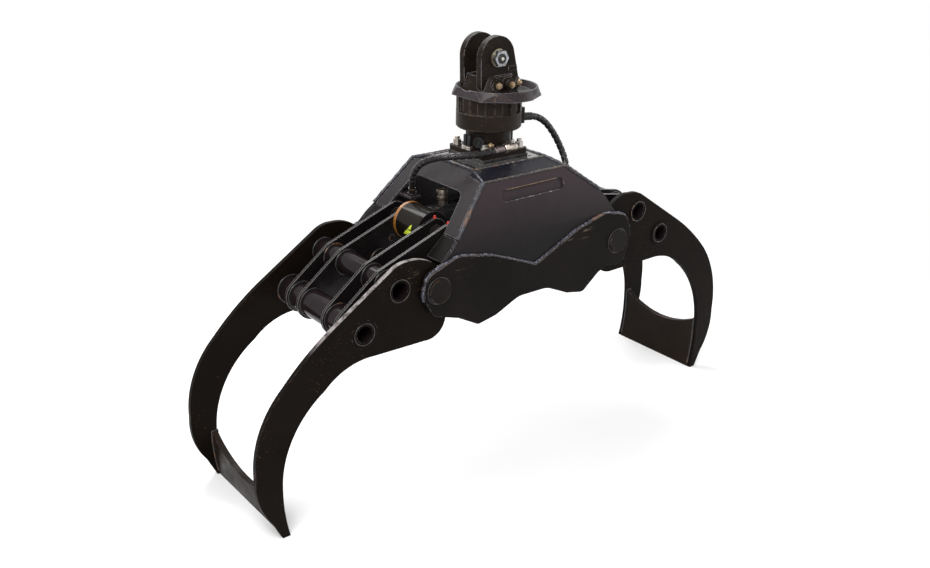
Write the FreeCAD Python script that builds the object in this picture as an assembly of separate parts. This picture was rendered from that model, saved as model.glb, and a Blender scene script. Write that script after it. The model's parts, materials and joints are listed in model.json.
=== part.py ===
import FreeCAD, Part
import math
import os

V = FreeCAD.Vector

# Log grapple standing on its open jaw tips. +Z up, X along the opening, near side at -Y.
# Sizes in millimetres. Left and right are -X and +X.

# Pivots of the mechanism, given for the right side and mirrored for the left
PIVOT_X = 372.0
PIVOT_Z = 650.0
CYLINDER_PIN_X = 264.0
CYLINDER_PIN_Z = 766.0
UPPER_TUBE_X = 497.0
UPPER_TUBE_Z = 673.0
LOWER_TUBE_X = 621.0
LOWER_TUBE_Z = 569.0
CLOSING_ANGLE = 65.0

# Jaws
JAW_PLATE = 16.0
LEFT_JAW_HALF = 220.0
NEST_GAP = 12.0
RIGHT_JAW_HALF = LEFT_JAW_HALF - JAW_PLATE - NEST_GAP
JAW_HEEL_R = 68.0
TIP_PLATE = 16.0
UPPER_TUBE_R = 38.0
UPPER_TUBE_BORE = 27.0
LOWER_TUBE_R = 44.0
LOWER_TUBE_BORE = 25.0
LEFT_TUBE_PROUD = 1.0
RIGHT_TUBE_PROUD = 3.0
RIGHT_ARM_OUT = 12.0
RIGHT_ARM_RISE = 28.0
RIGHT_TUBE_OUT = 20.0
RIGHT_TUBE_RISE = 40.0
LEFT_TIP_TOP = 200.0
RIGHT_TIP_TOP = 262.0
TIP_HOLLOW_R = 330.0
TIP_HOLLOW_RISE = 218.0
LUG = 10.0
LUG_INNER_Y = 67.0
LUG_OUTER_Y = 136.0
LUG_PIVOT_R = 60.0
LUG_END_R = 42.0
LUG_TUBE_LAP = 10.0

# Pins and running clearance
MAIN_PIN_R = 25.0
PIVOT_TUBE_R = 38.0
CYLINDER_PIN_R = 20.0
LINK_PIN_R = 10.0
RUNNING = 0.06
GREASE_CAP_R = 5.0
GREASE_CAP_H = 9.0

# Frame
JAW_GAP = 2.0
FRAME_INNER = LEFT_JAW_HALF + JAW_GAP
FRAME_PLATE = 10.0
FRAME_OUTER = FRAME_INNER + FRAME_PLATE
DOUBLER = 10.0
SHEET = 8.0
WINDOW_HALF = 150.0
WINDOW_TAPER = 30.0
WINDOW_CORNER_R = 34.0
WINDOW_TOP = 892.0

# The side plates lean inwards above the bend, up to the shoulders and the deck
BEND_Z = 760.0
SHOULDER_Z = 930.0
LEAN_RUN = 50.0
SHOULDER_RUN = 72.0
DECK_TOP = 950.0
DECK = 16.0
ROTOR_PAD = 14.0
LEAN = math.degrees(math.atan(LEAN_RUN / (SHOULDER_Z - BEND_Z)))
DECK_HALF = FRAME_OUTER - LEAN_RUN - SHOULDER_RUN

# Ends of the frame: corners (x, z) of the sloped end plates, from the deck down to the strips
LEFT_END = [(-147.0, 950.0), (-292.0, 788.0)]
RIGHT_END = [(144.0, 950.0), (301.0, 839.0)]
LEFT_STRIP = [(-292.0, 784.0), (-352.0, 728.0)]
RIGHT_STRIP = [(303.0, 832.0), (326.0, 806.0), (352.0, 758.0)]
DECK_HOLES = [(104.0, -84.0), (62.0, -98.0)]
DECK_HOLE_R = 5.5
PIN_HEAD_R = 40.0
PIN_HEAD = 9.0
SLOT_DEPTH = 6.0

# Cylinder
EYE_R = 60.0
EYE_HALF = 62.0
BARREL_R = 56.0
BARREL_BORE = 46.0
ROD_R = 26.0
PISTON = 45.0
GLAND = 25.0
SLIDING = 0.4
ROD_EYE_R = 44.0

# Sync tie rod between the jaws: it drives from above the left pivot to below the right one
LINK_RADIUS = 80.0
LINK_LEVEL = 0.92
LINK_EYE_R = 26.0
LINK_PLATE = 30.0
LINK_HALF_HEIGHT = 15.0
LINK_LOOSE = 14.0

# Rotator, on the grapple's centre line
FLANGE_HALF = 90.0
FLANGE = 18.0
NECK_R = 72.0
NECK_TOP = 1046.0
BAND_R = 104.0
BAND_TOP = 1098.0
SHAFT_R = 40.0
SHAFT_TOP = 1140.0
STATOR_TOP = 1147.0
COLLAR_R = 141.0
COLLAR_X = 18.0
COLLAR_Y = -14.0
COLLAR_TOP = 1176.0
HEAD_TOP = 1214.0
EAR_R = 66.0
EAR_X = -12.0
EAR_Z = 1268.0
EAR = 22.0
EAR_INNER = 31.0
CRANE_BOLT_R = 15.0
WASHER_R = 28.0
CRANE_NUT = 16.0
FACE_GAP = 1.0

# Hoses
HOSE_R = 9.0
FERRULE_R = 12.0
FERRULE_GAP = 0.3
BRACKET = 40.0
HOSE_1 = [(-5, -104, 996), (-42, -104, 996), (-88, -107, 994), (-138, -94, 991), (-186, -64, 988), (-222, -22, 981),
          (-243, 22, 960), (-247, 58, 926), (-240, 84, 885), (-228, 98, 842)]
HOSE_2 = [(122, -22, 1062), (166, -22, 1062), (214, -24, 1040), (248, -32, 1000), (267, -50, 954), (272, -74, 910),
          (264, -94, 871), (248, -104, 838)]


def xz(x, z, y=0.0):
    return V(x, y, z)


def outline(start, steps):
    """A closed wire in the XZ plane: a step of one point is a line, of two points an arc through the first."""
    edges = []
    here = start
    for step in steps + [[start]]:
        if len(step) == 1 and math.dist(here, step[0]) > 0.01:
            edges.append(Part.makeLine(xz(*here), xz(*step[0])))
        elif len(step) == 2:
            edges.append(Part.Arc(xz(*here), xz(*step[0]), xz(*step[1])).toShape())
        here = step[-1]
    return Part.Wire(edges)


def rounded(corners):
    """A closed wire in the XZ plane from corners (x, z, radius), each rounded by a tangent arc."""
    steps = []
    count = len(corners)
    for i, (x, z, r) in enumerate(corners):
        before = V(corners[i - 1][0] - x, corners[i - 1][1] - z, 0)
        after = V(corners[(i + 1) % count][0] - x, corners[(i + 1) % count][1] - z, 0)
        before.normalize()
        after.normalize()
        half = before.getAngle(after) / 2
        if r == 0:
            steps.append([(x, z)])
            continue
        reach = r / math.tan(half)
        middle = before + after
        middle.normalize()
        depth = r / math.sin(half) - r
        steps.append([(x + before.x * reach, z + before.y * reach)])
        steps.append([(x + middle.x * depth, z + middle.y * depth), (x + after.x * reach, z + after.y * reach)])
    start = steps[0][-1]
    return outline(start, steps[1:])


def belt(circles):
    """The closed belt line round circles (x, z, radius), listed clockwise as seen from the near side."""
    tangents = []
    count = len(circles)
    for i in range(count):
        x0, z0, r0 = circles[i]
        x1, z1, r1 = circles[(i + 1) % count]
        span = math.hypot(x1 - x0, z1 - z0)
        heading = math.atan2(z1 - z0, x1 - x0)
        normal = heading + math.pi / 2 - math.asin((r1 - r0) / span) * -1
        out = (math.cos(normal), math.sin(normal))
        tangents.append(((x0 + r0 * out[0], z0 + r0 * out[1]), (x1 + r1 * out[0], z1 + r1 * out[1]), normal))
    steps = []
    for i in range(count):
        x, z, r = circles[(i + 1) % count]
        a0 = tangents[i][2]
        a1 = tangents[(i + 1) % count][2]
        while a1 > a0:
            a1 -= 2 * math.pi
        steps.append([tangents[i][1]])
        if a0 - a1 > 0.02:
            middle = (a0 + a1) / 2
            steps.append([(x + r * math.cos(middle), z + r * math.sin(middle)), tangents[(i + 1) % count][0]])
    return outline(tangents[0][0], steps)


def plate(wire, y0, y1):
    face = Part.Face(wire)
    face.translate(V(0, y0, 0))
    return face.extrude(V(0, y1 - y0, 0))


def rod_y(x, z, r, y0, y1):
    return Part.makeCylinder(r, y1 - y0, V(x, y0, z), V(0, 1, 0))


def tube_y(x, z, r, bore, y0, y1):
    return rod_y(x, z, r, y0, y1).cut(rod_y(x, z, bore, y0 - 1, y1 + 1))


def rod_z(x, y, r, z0, z1):
    return Part.makeCylinder(r, z1 - z0, V(x, y, z0), V(0, 0, 1))


def rod_x(y, z, r, x0, x1):
    return Part.makeCylinder(r, x1 - x0, V(x0, y, z), V(1, 0, 0))


def hexagon(across, height, base, axis):
    corners = [V(across / math.sqrt(3) * math.cos(i * math.pi / 3), across / math.sqrt(3) * math.sin(i * math.pi / 3), 0)
               for i in range(7)]
    solid = Part.Face(Part.makePolygon(corners)).extrude(V(0, 0, height))
    solid.Placement = FreeCAD.Placement(V(*base), FreeCAD.Rotation(V(0, 0, 1), V(*axis)))
    return solid


def fuse(solids):
    return solids[0].multiFuse(solids[1:]).removeSplitter() if len(solids) > 1 else solids[0]


def flip_x(shape):
    return shape.mirror(V(0, 0, 0), V(1, 0, 0))


def flip_y(shape):
    return shape.mirror(V(0, 0, 0), V(0, 1, 0))


def both_sides(solid):
    return [solid, flip_y(solid)]


parts = {}


def keep(name, *solids):
    parts[name] = solids[0] if len(solids) == 1 else Part.makeCompound(list(solids))


def crescent(out, rise):
    """Side profile of the left jaw, its arm moved outwards and upwards: heel, back edge, tip, inner edge."""
    px, pz = -PIVOT_X, PIVOT_Z
    heel = [(px + JAW_HEEL_R * math.cos(math.radians(a)), pz + JAW_HEEL_R * math.sin(math.radians(a)))
            for a in (-40, 20, 80)]
    return outline((-890, 0), [
        [(-904, 88), (-905, 180)],
        [(-868 - out / 2, 310 + rise / 2), (-757 - out, 431 + rise)],
        [(-682 - out, 479 + rise), (-588 - out, 492 + rise)],
        [(-410, 490 + rise)],
        [(-362, 500 + rise), (-334, 538 + rise / 2)],
        [heel[0]],
        [heel[1], heel[2]],
        [(-412, 750 + rise), (-462 - out, 757 + rise)],
        [(-496 - out, 754 + rise), (-527 - out, 739 + rise)],
        [(-700 - out, 626 + rise)],
        [(-800 - out, 553 + rise), (-884 - out, 472 + rise)],
        [(-963 - out / 2, 356 + rise / 2), (-987, 224)],
        [(-978, 128), (-943, 60)],
        [(-915, 0)]])


def tip_plate(half, top):
    """Cutting-edge plate between the jaw's side plates, with a hollow upper edge."""
    inner = half - JAW_PLATE
    section = outline((-889, 0), [[(-903, 88), (-904, 178)], [(-906, 200)], [(-906 + (top - 200) / 20, top)],
                                  [(-906 + (top - 200) / 20 - TIP_PLATE, top)], [(-906 - TIP_PLATE, 200)],
                                  [(-906 - TIP_PLATE, 90), (-893 - TIP_PLATE, 0)]])
    solid = plate(section, -inner, inner)
    return solid.cut(rod_x(0, top + TIP_HOLLOW_RISE, TIP_HOLLOW_R, -950, -850))


def lug_outline(upper, lower):
    link_x, link_z = link_pin_place(False)
    return belt([(*lower, LOWER_TUBE_R + LUG_TUBE_LAP),
                 (*upper, UPPER_TUBE_R + LUG_TUBE_LAP),
                 (-CYLINDER_PIN_X, CYLINDER_PIN_Z, LUG_END_R),
                 (-PIVOT_X, PIVOT_Z, LUG_PIVOT_R),
                 (link_x, link_z, LINK_EYE_R)])


def link_pin_place(above):
    """The tie rod's pin in the left jaw's lugs: above its pivot, or the mirrored place below it."""
    turn = math.radians(90 - CLOSING_ANGLE / 2)
    side = 1 if above else -1
    return -PIVOT_X + side * LINK_RADIUS * math.cos(turn), PIVOT_Z + side * LINK_RADIUS * math.sin(turn)


def build_jaw(name, half, tip_top, arm_shift, tube_shift, tube_proud, place, link_above):
    """One jaw, modelled at the left and put in its place by the function place."""
    out, rise = arm_shift
    inner = half - JAW_PLATE
    upper = (-UPPER_TUBE_X - tube_shift[0], UPPER_TUBE_Z + tube_shift[1])
    lower = (-LOWER_TUBE_X - tube_shift[0], LOWER_TUBE_Z + tube_shift[1])
    tube_seats = ((-PIVOT_X, PIVOT_Z, PIVOT_TUBE_R), (*upper, UPPER_TUBE_R), (*lower, LOWER_TUBE_R))
    near = plate(crescent(out, rise), -half, -inner)
    for x, z, r in tube_seats:
        near = near.cut(rod_y(x, z, r, -half - 1, -inner + 1))
    keep(name + "_jaw_plate_near", place(near))
    keep(name + "_jaw_plate_far", place(flip_y(near)))
    keep(name + "_jaw_tip_plate", place(tip_plate(half, tip_top)))
    end = half + tube_proud
    keep(name + "_upper_tube", place(tube_y(*upper, UPPER_TUBE_R, UPPER_TUBE_BORE, -end, end)))
    keep(name + "_lower_tube", place(tube_y(*lower, LOWER_TUBE_R, LOWER_TUBE_BORE, -end, end)))
    bore = MAIN_PIN_R + RUNNING
    middle = tube_y(-PIVOT_X, PIVOT_Z, PIVOT_TUBE_R, bore, -LUG_INNER_Y - LUG, LUG_INNER_Y + LUG)
    outer = tube_y(-PIVOT_X, PIVOT_Z, PIVOT_TUBE_R, bore, -FRAME_INNER + 1, -LUG_OUTER_Y)
    keep(name + "_pivot_tubes", place(middle), *[place(s) for s in both_sides(outer)])
    link_x, link_z = link_pin_place(link_above)
    lugs = []
    for y0 in (LUG_INNER_Y, LUG_OUTER_Y):
        lug = plate(lug_outline(upper, lower), y0, y0 + LUG)
        for x, z, r in (*tube_seats, (-CYLINDER_PIN_X, CYLINDER_PIN_Z, CYLINDER_PIN_R)):
            lug = lug.cut(rod_y(x, z, r, y0 - 1, y0 + LUG + 1))
        lugs.append(flip_y(lug))
        lugs.append(lug.cut(rod_y(link_x, link_z, LINK_PIN_R, y0 - 1, y0 + LUG + 1)))
    keep(name + "_lugs", *[place(s) for s in lugs])
    pin_end = LUG_OUTER_Y + LUG + 3
    keep(name + "_cylinder_pin", place(rod_y(-CYLINDER_PIN_X, CYLINDER_PIN_Z, CYLINDER_PIN_R, -pin_end, pin_end)))
    caps = []
    for y in (-LUG_OUTER_Y - LUG / 2, -LUG_INNER_Y - LUG / 2, LUG_INNER_Y + LUG / 2):
        z = CYLINDER_PIN_Z + LUG_END_R
        caps.append(place(rod_z(-CYLINDER_PIN_X, y, GREASE_CAP_R, z + 0.2, z + GREASE_CAP_H)))
    keep(name + "_grease_caps", *caps)
    keep(name + "_link_pin", place(rod_y(link_x, link_z, LINK_PIN_R, LUG_INNER_Y - 1, LUG_OUTER_Y + LUG + 1)))


def end_x(end, z):
    """Where an end plate's outer face is at the level z."""
    (x0, z0), (x1, z1) = end
    return x0 + (x1 - x0) * (z0 - z) / (z0 - z1)


def flat_z(z):
    """The level of a point of a side plate's leaning part before the plate was folded."""
    return BEND_Z + (z - BEND_Z) / math.cos(math.radians(LEAN))


def side_outline():
    """A side plate before folding: its upper corners follow the two end plates."""
    return rounded([(end_x(LEFT_END, SHOULDER_Z), flat_z(SHOULDER_Z), 0), (end_x(RIGHT_END, SHOULDER_Z), flat_z(SHOULDER_Z), 0),
                    (RIGHT_END[1][0] - 1, flat_z(RIGHT_END[1][1]), 20), (328, flat_z(806), 20),
                    (360, 752, 10), (PIVOT_X + 46, 716, 45), (PIVOT_X + 58, 650, 30), (PIVOT_X + 30, 566, 30),
                    (330, 576, 20), (290, 560, 10), (222, 506, 24), (150, 520, 30), (60, 560, 90), (-60, 560, 90),
                    (-150, 520, 30), (-222, 506, 24), (-300, 548, 20), (-PIVOT_X - 20, 576, 30),
                    (-PIVOT_X - 52, 640, 30), (-PIVOT_X - 40, 706, 36), (-356, 724, 10),
                    (LEFT_END[1][0] + 2, flat_z(LEFT_END[1][1]), 20)])


def folded(side):
    """The near side plate bent inwards about its outer face at the level BEND_Z."""
    above = Part.makeBox(1000, 400, 400, V(-500, -400, BEND_Z))
    upper = side.common(above)
    upper.rotate(V(0, -FRAME_OUTER, BEND_Z), V(1, 0, 0), -LEAN)
    return fuse([side.cut(above), upper])


def doubler_outline():
    """The bow-tie plate on the frame's side: an ear round each pin, a notch above and an arch below."""
    return rounded([(-PIVOT_X - 56, 640, 40), (-PIVOT_X - 38, 702, 40), (-300, 742, 60), (-170, 716, 60), (10, 646, 6),
                    (190, 728, 60), (312, 758, 60), (PIVOT_X + 36, 736, 50), (PIVOT_X + 62, 670, 40),
                    (PIVOT_X + 34, 560, 34), (330, 572, 20), (290, 556, 10), (222, 502, 24), (150, 516, 30),
                    (60, 556, 90), (-60, 556, 90), (-150, 516, 30), (-222, 502, 24), (-300, 544, 20),
                    (-PIVOT_X - 20, 572, 34)])


def bent_sheet(points, half, thick):
    """A sheet folded along straight lines across Y: points (x, z) of its outer side, thickness inwards and down."""
    solids = []
    for (x0, z0), (x1, z1) in zip(points, points[1:]):
        length = math.hypot(x1 - x0, z1 - z0)
        nx, nz = (z1 - z0) / length * thick, -(x1 - x0) / length * thick
        if nz > 0:
            nx, nz = -nx, -nz
        wire = Part.makePolygon([xz(x0, z0), xz(x1, z1), xz(x1 + nx, z1 + nz), xz(x0 + nx, z0 + nz), xz(x0, z0)])
        solids.append(plate(wire, -half, half))
    return solids


def window_cutter(low, high, half, radius):
    """An upright prism with rounded upper corners that cuts a window through a sloped plate, open at its foot."""
    (x0, z0), (x1, z1) = low, high
    length = math.hypot(x1 - x0, z1 - z0)
    foot = half + WINDOW_TAPER
    corners = [(-foot, -60, 0), (-foot, 0, 0), (-half, length, radius), (half, length, radius), (foot, 0, 0), (foot, -60, 0)]
    face = Part.Face(rounded(corners))
    solid = face.extrude(V(0, 80, 0))
    solid.translate(V(0, -40, 0))
    along = V((x1 - x0) / length, 0, (z1 - z0) / length)
    across = V(0, 1, 0)
    through = along.cross(across)
    m = FreeCAD.Matrix(across.x, through.x, along.x, x0, across.y, through.y, along.y, 0,
                       across.z, through.z, along.z, z0, 0, 0, 0, 1)
    return solid.transformGeometry(m)


def frame_inside(deck_z):
    """The space between the folded side plates, under the deck and the shoulders, as a prism along X."""
    bend_z = BEND_Z - FRAME_PLATE * math.tan(math.radians(LEAN / 2))
    slant = math.tan(math.radians(LEAN))
    top_half = FRAME_INNER - (SHOULDER_Z - bend_z) * slant
    half = [V(-500, FRAME_INNER, 600), V(-500, FRAME_INNER, bend_z), V(-500, top_half, SHOULDER_Z), V(-500, DECK_HALF, deck_z)]
    ring = half + [V(p.x, -p.y, p.z) for p in reversed(half)]
    return Part.Face(Part.makePolygon(ring + ring[:1])).extrude(V(1000, 0, 0))


def build_frame():
    pin_end = FRAME_OUTER + DOUBLER
    side = folded(plate(side_outline(), -FRAME_OUTER, -FRAME_INNER))
    doubler = plate(doubler_outline(), -pin_end, -FRAME_OUTER)
    for x in (-PIVOT_X, PIVOT_X):
        hole = rod_y(x, PIVOT_Z, MAIN_PIN_R, -pin_end - 1, -FRAME_INNER + 1)
        side = side.cut(hole)
        doubler = doubler.cut(hole)
    slot = plate(rounded([(-104, 902, 12), (150, 904, 12), (154, 867, 14), (-100, 865, 14)]),
                 -FRAME_OUTER - 1, -FRAME_OUTER + SLOT_DEPTH)
    slot.rotate(V(0, -FRAME_OUTER, BEND_Z), V(1, 0, 0), -LEAN)
    side = side.cut(slot)
    keep("frame_side_near", side)
    keep("frame_side_far", flip_y(side))
    keep("ear_doubler_near", doubler)
    keep("ear_doubler_far", flip_y(doubler))

    deck = Part.makeBox(RIGHT_END[0][0] - LEFT_END[0][0], 2 * DECK_HALF, DECK, V(LEFT_END[0][0], -DECK_HALF, DECK_TOP - DECK))
    for x, y in DECK_HOLES:
        deck = deck.cut(rod_z(x, y, DECK_HOLE_R, DECK_TOP - DECK - 1, DECK_TOP + 1))
    pad = Part.makeBox(2 * FLANGE_HALF, 2 * FLANGE_HALF, ROTOR_PAD, V(-FLANGE_HALF, -FLANGE_HALF, DECK_TOP))
    keep("top_plate", deck, pad)

    ends = Part.makePolygon([xz(*p) for p in (LEFT_END[0], RIGHT_END[0], RIGHT_END[1], LEFT_END[1], LEFT_END[0])])
    between_ends = plate(ends, -FRAME_OUTER, FRAME_OUTER)
    lean_half = FRAME_OUTER - LEAN_RUN
    edge_y = lean_half - FRAME_PLATE * math.cos(math.radians(LEAN))
    edge_z = SHOULDER_Z - FRAME_PLATE * math.sin(math.radians(LEAN))
    section = [V(-400, -DECK_HALF, DECK_TOP), V(-400, -lean_half, SHOULDER_Z), V(-400, -edge_y, edge_z),
               V(-400, -DECK_HALF, DECK_TOP - DECK)]
    shoulder = Part.Face(Part.makePolygon(section + section[:1])).extrude(V(800, 0, 0)).common(between_ends)
    keep("shoulders", *both_sides(shoulder))

    roof = Part.makeCompound([deck] + both_sides(shoulder))
    inside = frame_inside(DECK_TOP)
    end_plates = []
    for name, run in (("left", LEFT_END), ("right", RIGHT_END)):
        window_top = (end_x(run, WINDOW_TOP), WINDOW_TOP)
        sheet = bent_sheet(run, FRAME_INNER, SHEET)[0]
        sheet = sheet.cut(window_cutter(run[1], window_top, WINDOW_HALF + 6 - WINDOW_TAPER, WINDOW_CORNER_R))
        sheet = sheet.common(inside).cut(roof)
        keep(name + "_end_plate", sheet)
        end_plates.append(sheet)
    left_plate, right_plate = end_plates

    strips = []
    for run in (LEFT_STRIP, RIGHT_STRIP):
        for sheet in bent_sheet(run, FRAME_INNER, SHEET):
            strip = sheet.cut(Part.makeBox(400, 2 * WINDOW_HALF + 4, 400, V(run[0][0] - 200, -WINDOW_HALF - 2, 600)))
            strips += strip.common(inside).Solids
    keep("leg_strips", *strips)

    belly = plate(rounded([(-104, 562, 8), (104, 562, 8), (104, 578, 8), (-104, 578, 8)]), -FRAME_INNER, FRAME_INNER)
    keep("belly_plate", belly)

    for name, x in (("left", -PIVOT_X), ("right", PIVOT_X)):
        shank = rod_y(x, PIVOT_Z, MAIN_PIN_R, -pin_end - 1, pin_end)
        head = rod_y(x, PIVOT_Z, PIN_HEAD_R, -pin_end - PIN_HEAD, -pin_end)
        head = head.makeChamfer(2.5, [e for e in head.Edges if e.BoundBox.YMax < -pin_end - PIN_HEAD + 0.1])
        keep(name + "_main_pin", fuse([shank, head]))
    caps = []
    for x in (-PIVOT_X, PIVOT_X):
        cap = rod_y(x, PIVOT_Z, PIN_HEAD_R, pin_end, pin_end + PIN_HEAD)
        cap = cap.makeChamfer(2.5, [e for e in cap.Edges if e.BoundBox.YMin > pin_end + PIN_HEAD - 0.1])
        cap = cap.cut(rod_y(x, PIVOT_Z, 18, pin_end + 2, pin_end + 20))
        bolt = hexagon(24, PIN_HEAD - 2, (x, pin_end + 2, PIVOT_Z), (0, 1, 0))
        caps += [cap, bolt]
    keep("pin_retainers", *caps)

    # Hose brackets inside the frame, each welded to a side plate, with a fitting in line with its hose
    for name, route, end_plate in (("left", HOSE_1, left_plate), ("right", HOSE_2, right_plate)):
        end = V(*route[-1])
        on = (end - V(*route[-2])).normalize()
        nipple = Part.makeCylinder(FERRULE_R, 26, end, on)
        nut = hexagon(27, 9, tuple(end), tuple(on))
        ferrule = Part.makeCylinder(FERRULE_R, 18, end - on * 18, on)
        ferrule = ferrule.cut(Part.makeCylinder(HOSE_R + FERRULE_GAP, 40, end - on * 40, on))
        fitting = fuse([nipple, nut, ferrule])
        keep(name + "_bulkhead_fitting", fitting)
        reach = FRAME_INNER - abs(end.y) + BRACKET / 2
        inner_y = end.y - BRACKET / 2 if end.y > 0 else -FRAME_INNER
        bracket = Part.makeBox(BRACKET, reach, SHEET, V(end.x - BRACKET / 2, inner_y, end.z - 17))
        keep(name + "_hose_bracket", bracket.common(inside).cut(Part.makeCompound([fitting, end_plate])))


def build_cylinder():
    bore = CYLINDER_PIN_R + RUNNING
    x0 = -CYLINDER_PIN_X
    z0 = CYLINDER_PIN_Z
    eye = rod_y(x0, z0, EYE_R, -EYE_HALF, EYE_HALF).cut(rod_y(x0, z0, bore, -100, 100))
    keep("cylinder_base_eye", eye)
    base_x = x0 + EYE_R - 8
    rod_eye_left = CYLINDER_PIN_X - ROD_EYE_R
    gland_end = rod_eye_left - 8
    gland_start = gland_end - GLAND
    barrel = rod_x(0, z0, BARREL_R, x0 + 20, gland_start)
    barrel = barrel.cut(rod_x(0, z0, BARREL_BORE, base_x + 10, gland_start + 1))
    barrel = barrel.cut(rod_y(x0, z0, EYE_R, -100, 100))
    keep("cylinder_barrel", barrel)
    gland = rod_x(0, z0, BARREL_R + 3, gland_start, gland_end).cut(rod_x(0, z0, ROD_R + SLIDING, gland_start - 1, gland_end + 1))
    keep("cylinder_gland", gland)
    ports = []
    for x in (base_x + 34, gland_start - 22):
        boss = rod_z(x, 0, 15, z0 + BARREL_BORE + 2, z0 + BARREL_R + 12)
        nut = hexagon(30, 12, (x, 0, z0 + BARREL_R + 12), (0, 0, 1))
        neck = rod_z(x, 0, 10, z0 + BARREL_R + 20, z0 + BARREL_R + 42)
        arm = rod_y(x, z0 + BARREL_R + 33, 8, 0, 28)
        ports.append(fuse([boss, nut, neck, arm]).cut(rod_x(0, z0, BARREL_R, x - 30, x + 30)))
    keep("cylinder_ports", *ports)

    piston = rod_x(0, z0, BARREL_BORE - SLIDING, base_x + 12, base_x + 12 + PISTON)
    keep("piston", piston)
    rod = rod_x(0, z0, ROD_R, base_x + 12 + PISTON, CYLINDER_PIN_X - 20)
    rod = rod.cut(rod_y(CYLINDER_PIN_X, z0, ROD_EYE_R, -100, 100))
    keep("piston_rod", rod)
    rod_eye = rod_y(CYLINDER_PIN_X, z0, ROD_EYE_R, -EYE_HALF, EYE_HALF).cut(rod_y(CYLINDER_PIN_X, z0, bore, -100, 100))
    keep("rod_eye", rod_eye)


def build_tie_rod():
    """The tie rod lies between the far lugs. Its right eye is bored large, as the linkage is opened there."""
    y0 = (LUG_INNER_Y + LUG + LUG_OUTER_Y - LINK_PLATE) / 2
    y1 = y0 + LINK_PLATE
    xa, za = link_pin_place(True)
    xb = xa + 2 * PIVOT_X
    zb = za - 2 * LINK_RADIUS * LINK_LEVEL
    eye_b = LINK_PIN_R + LINK_LOOSE
    bar = plate(belt([(xa, za, LINK_HALF_HEIGHT), (xb, zb, LINK_HALF_HEIGHT)]), y0, y1)
    link = fuse([bar, rod_y(xa, za, LINK_EYE_R, y0, y1), rod_y(xb, zb, eye_b + 9, y0, y1)])
    link = link.cut(rod_y(xa, za, LINK_PIN_R + RUNNING, y0 - 1, y1 + 1)).cut(rod_y(xb, zb, eye_b, y0 - 1, y1 + 1))
    keep("tie_rod", link)


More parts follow.
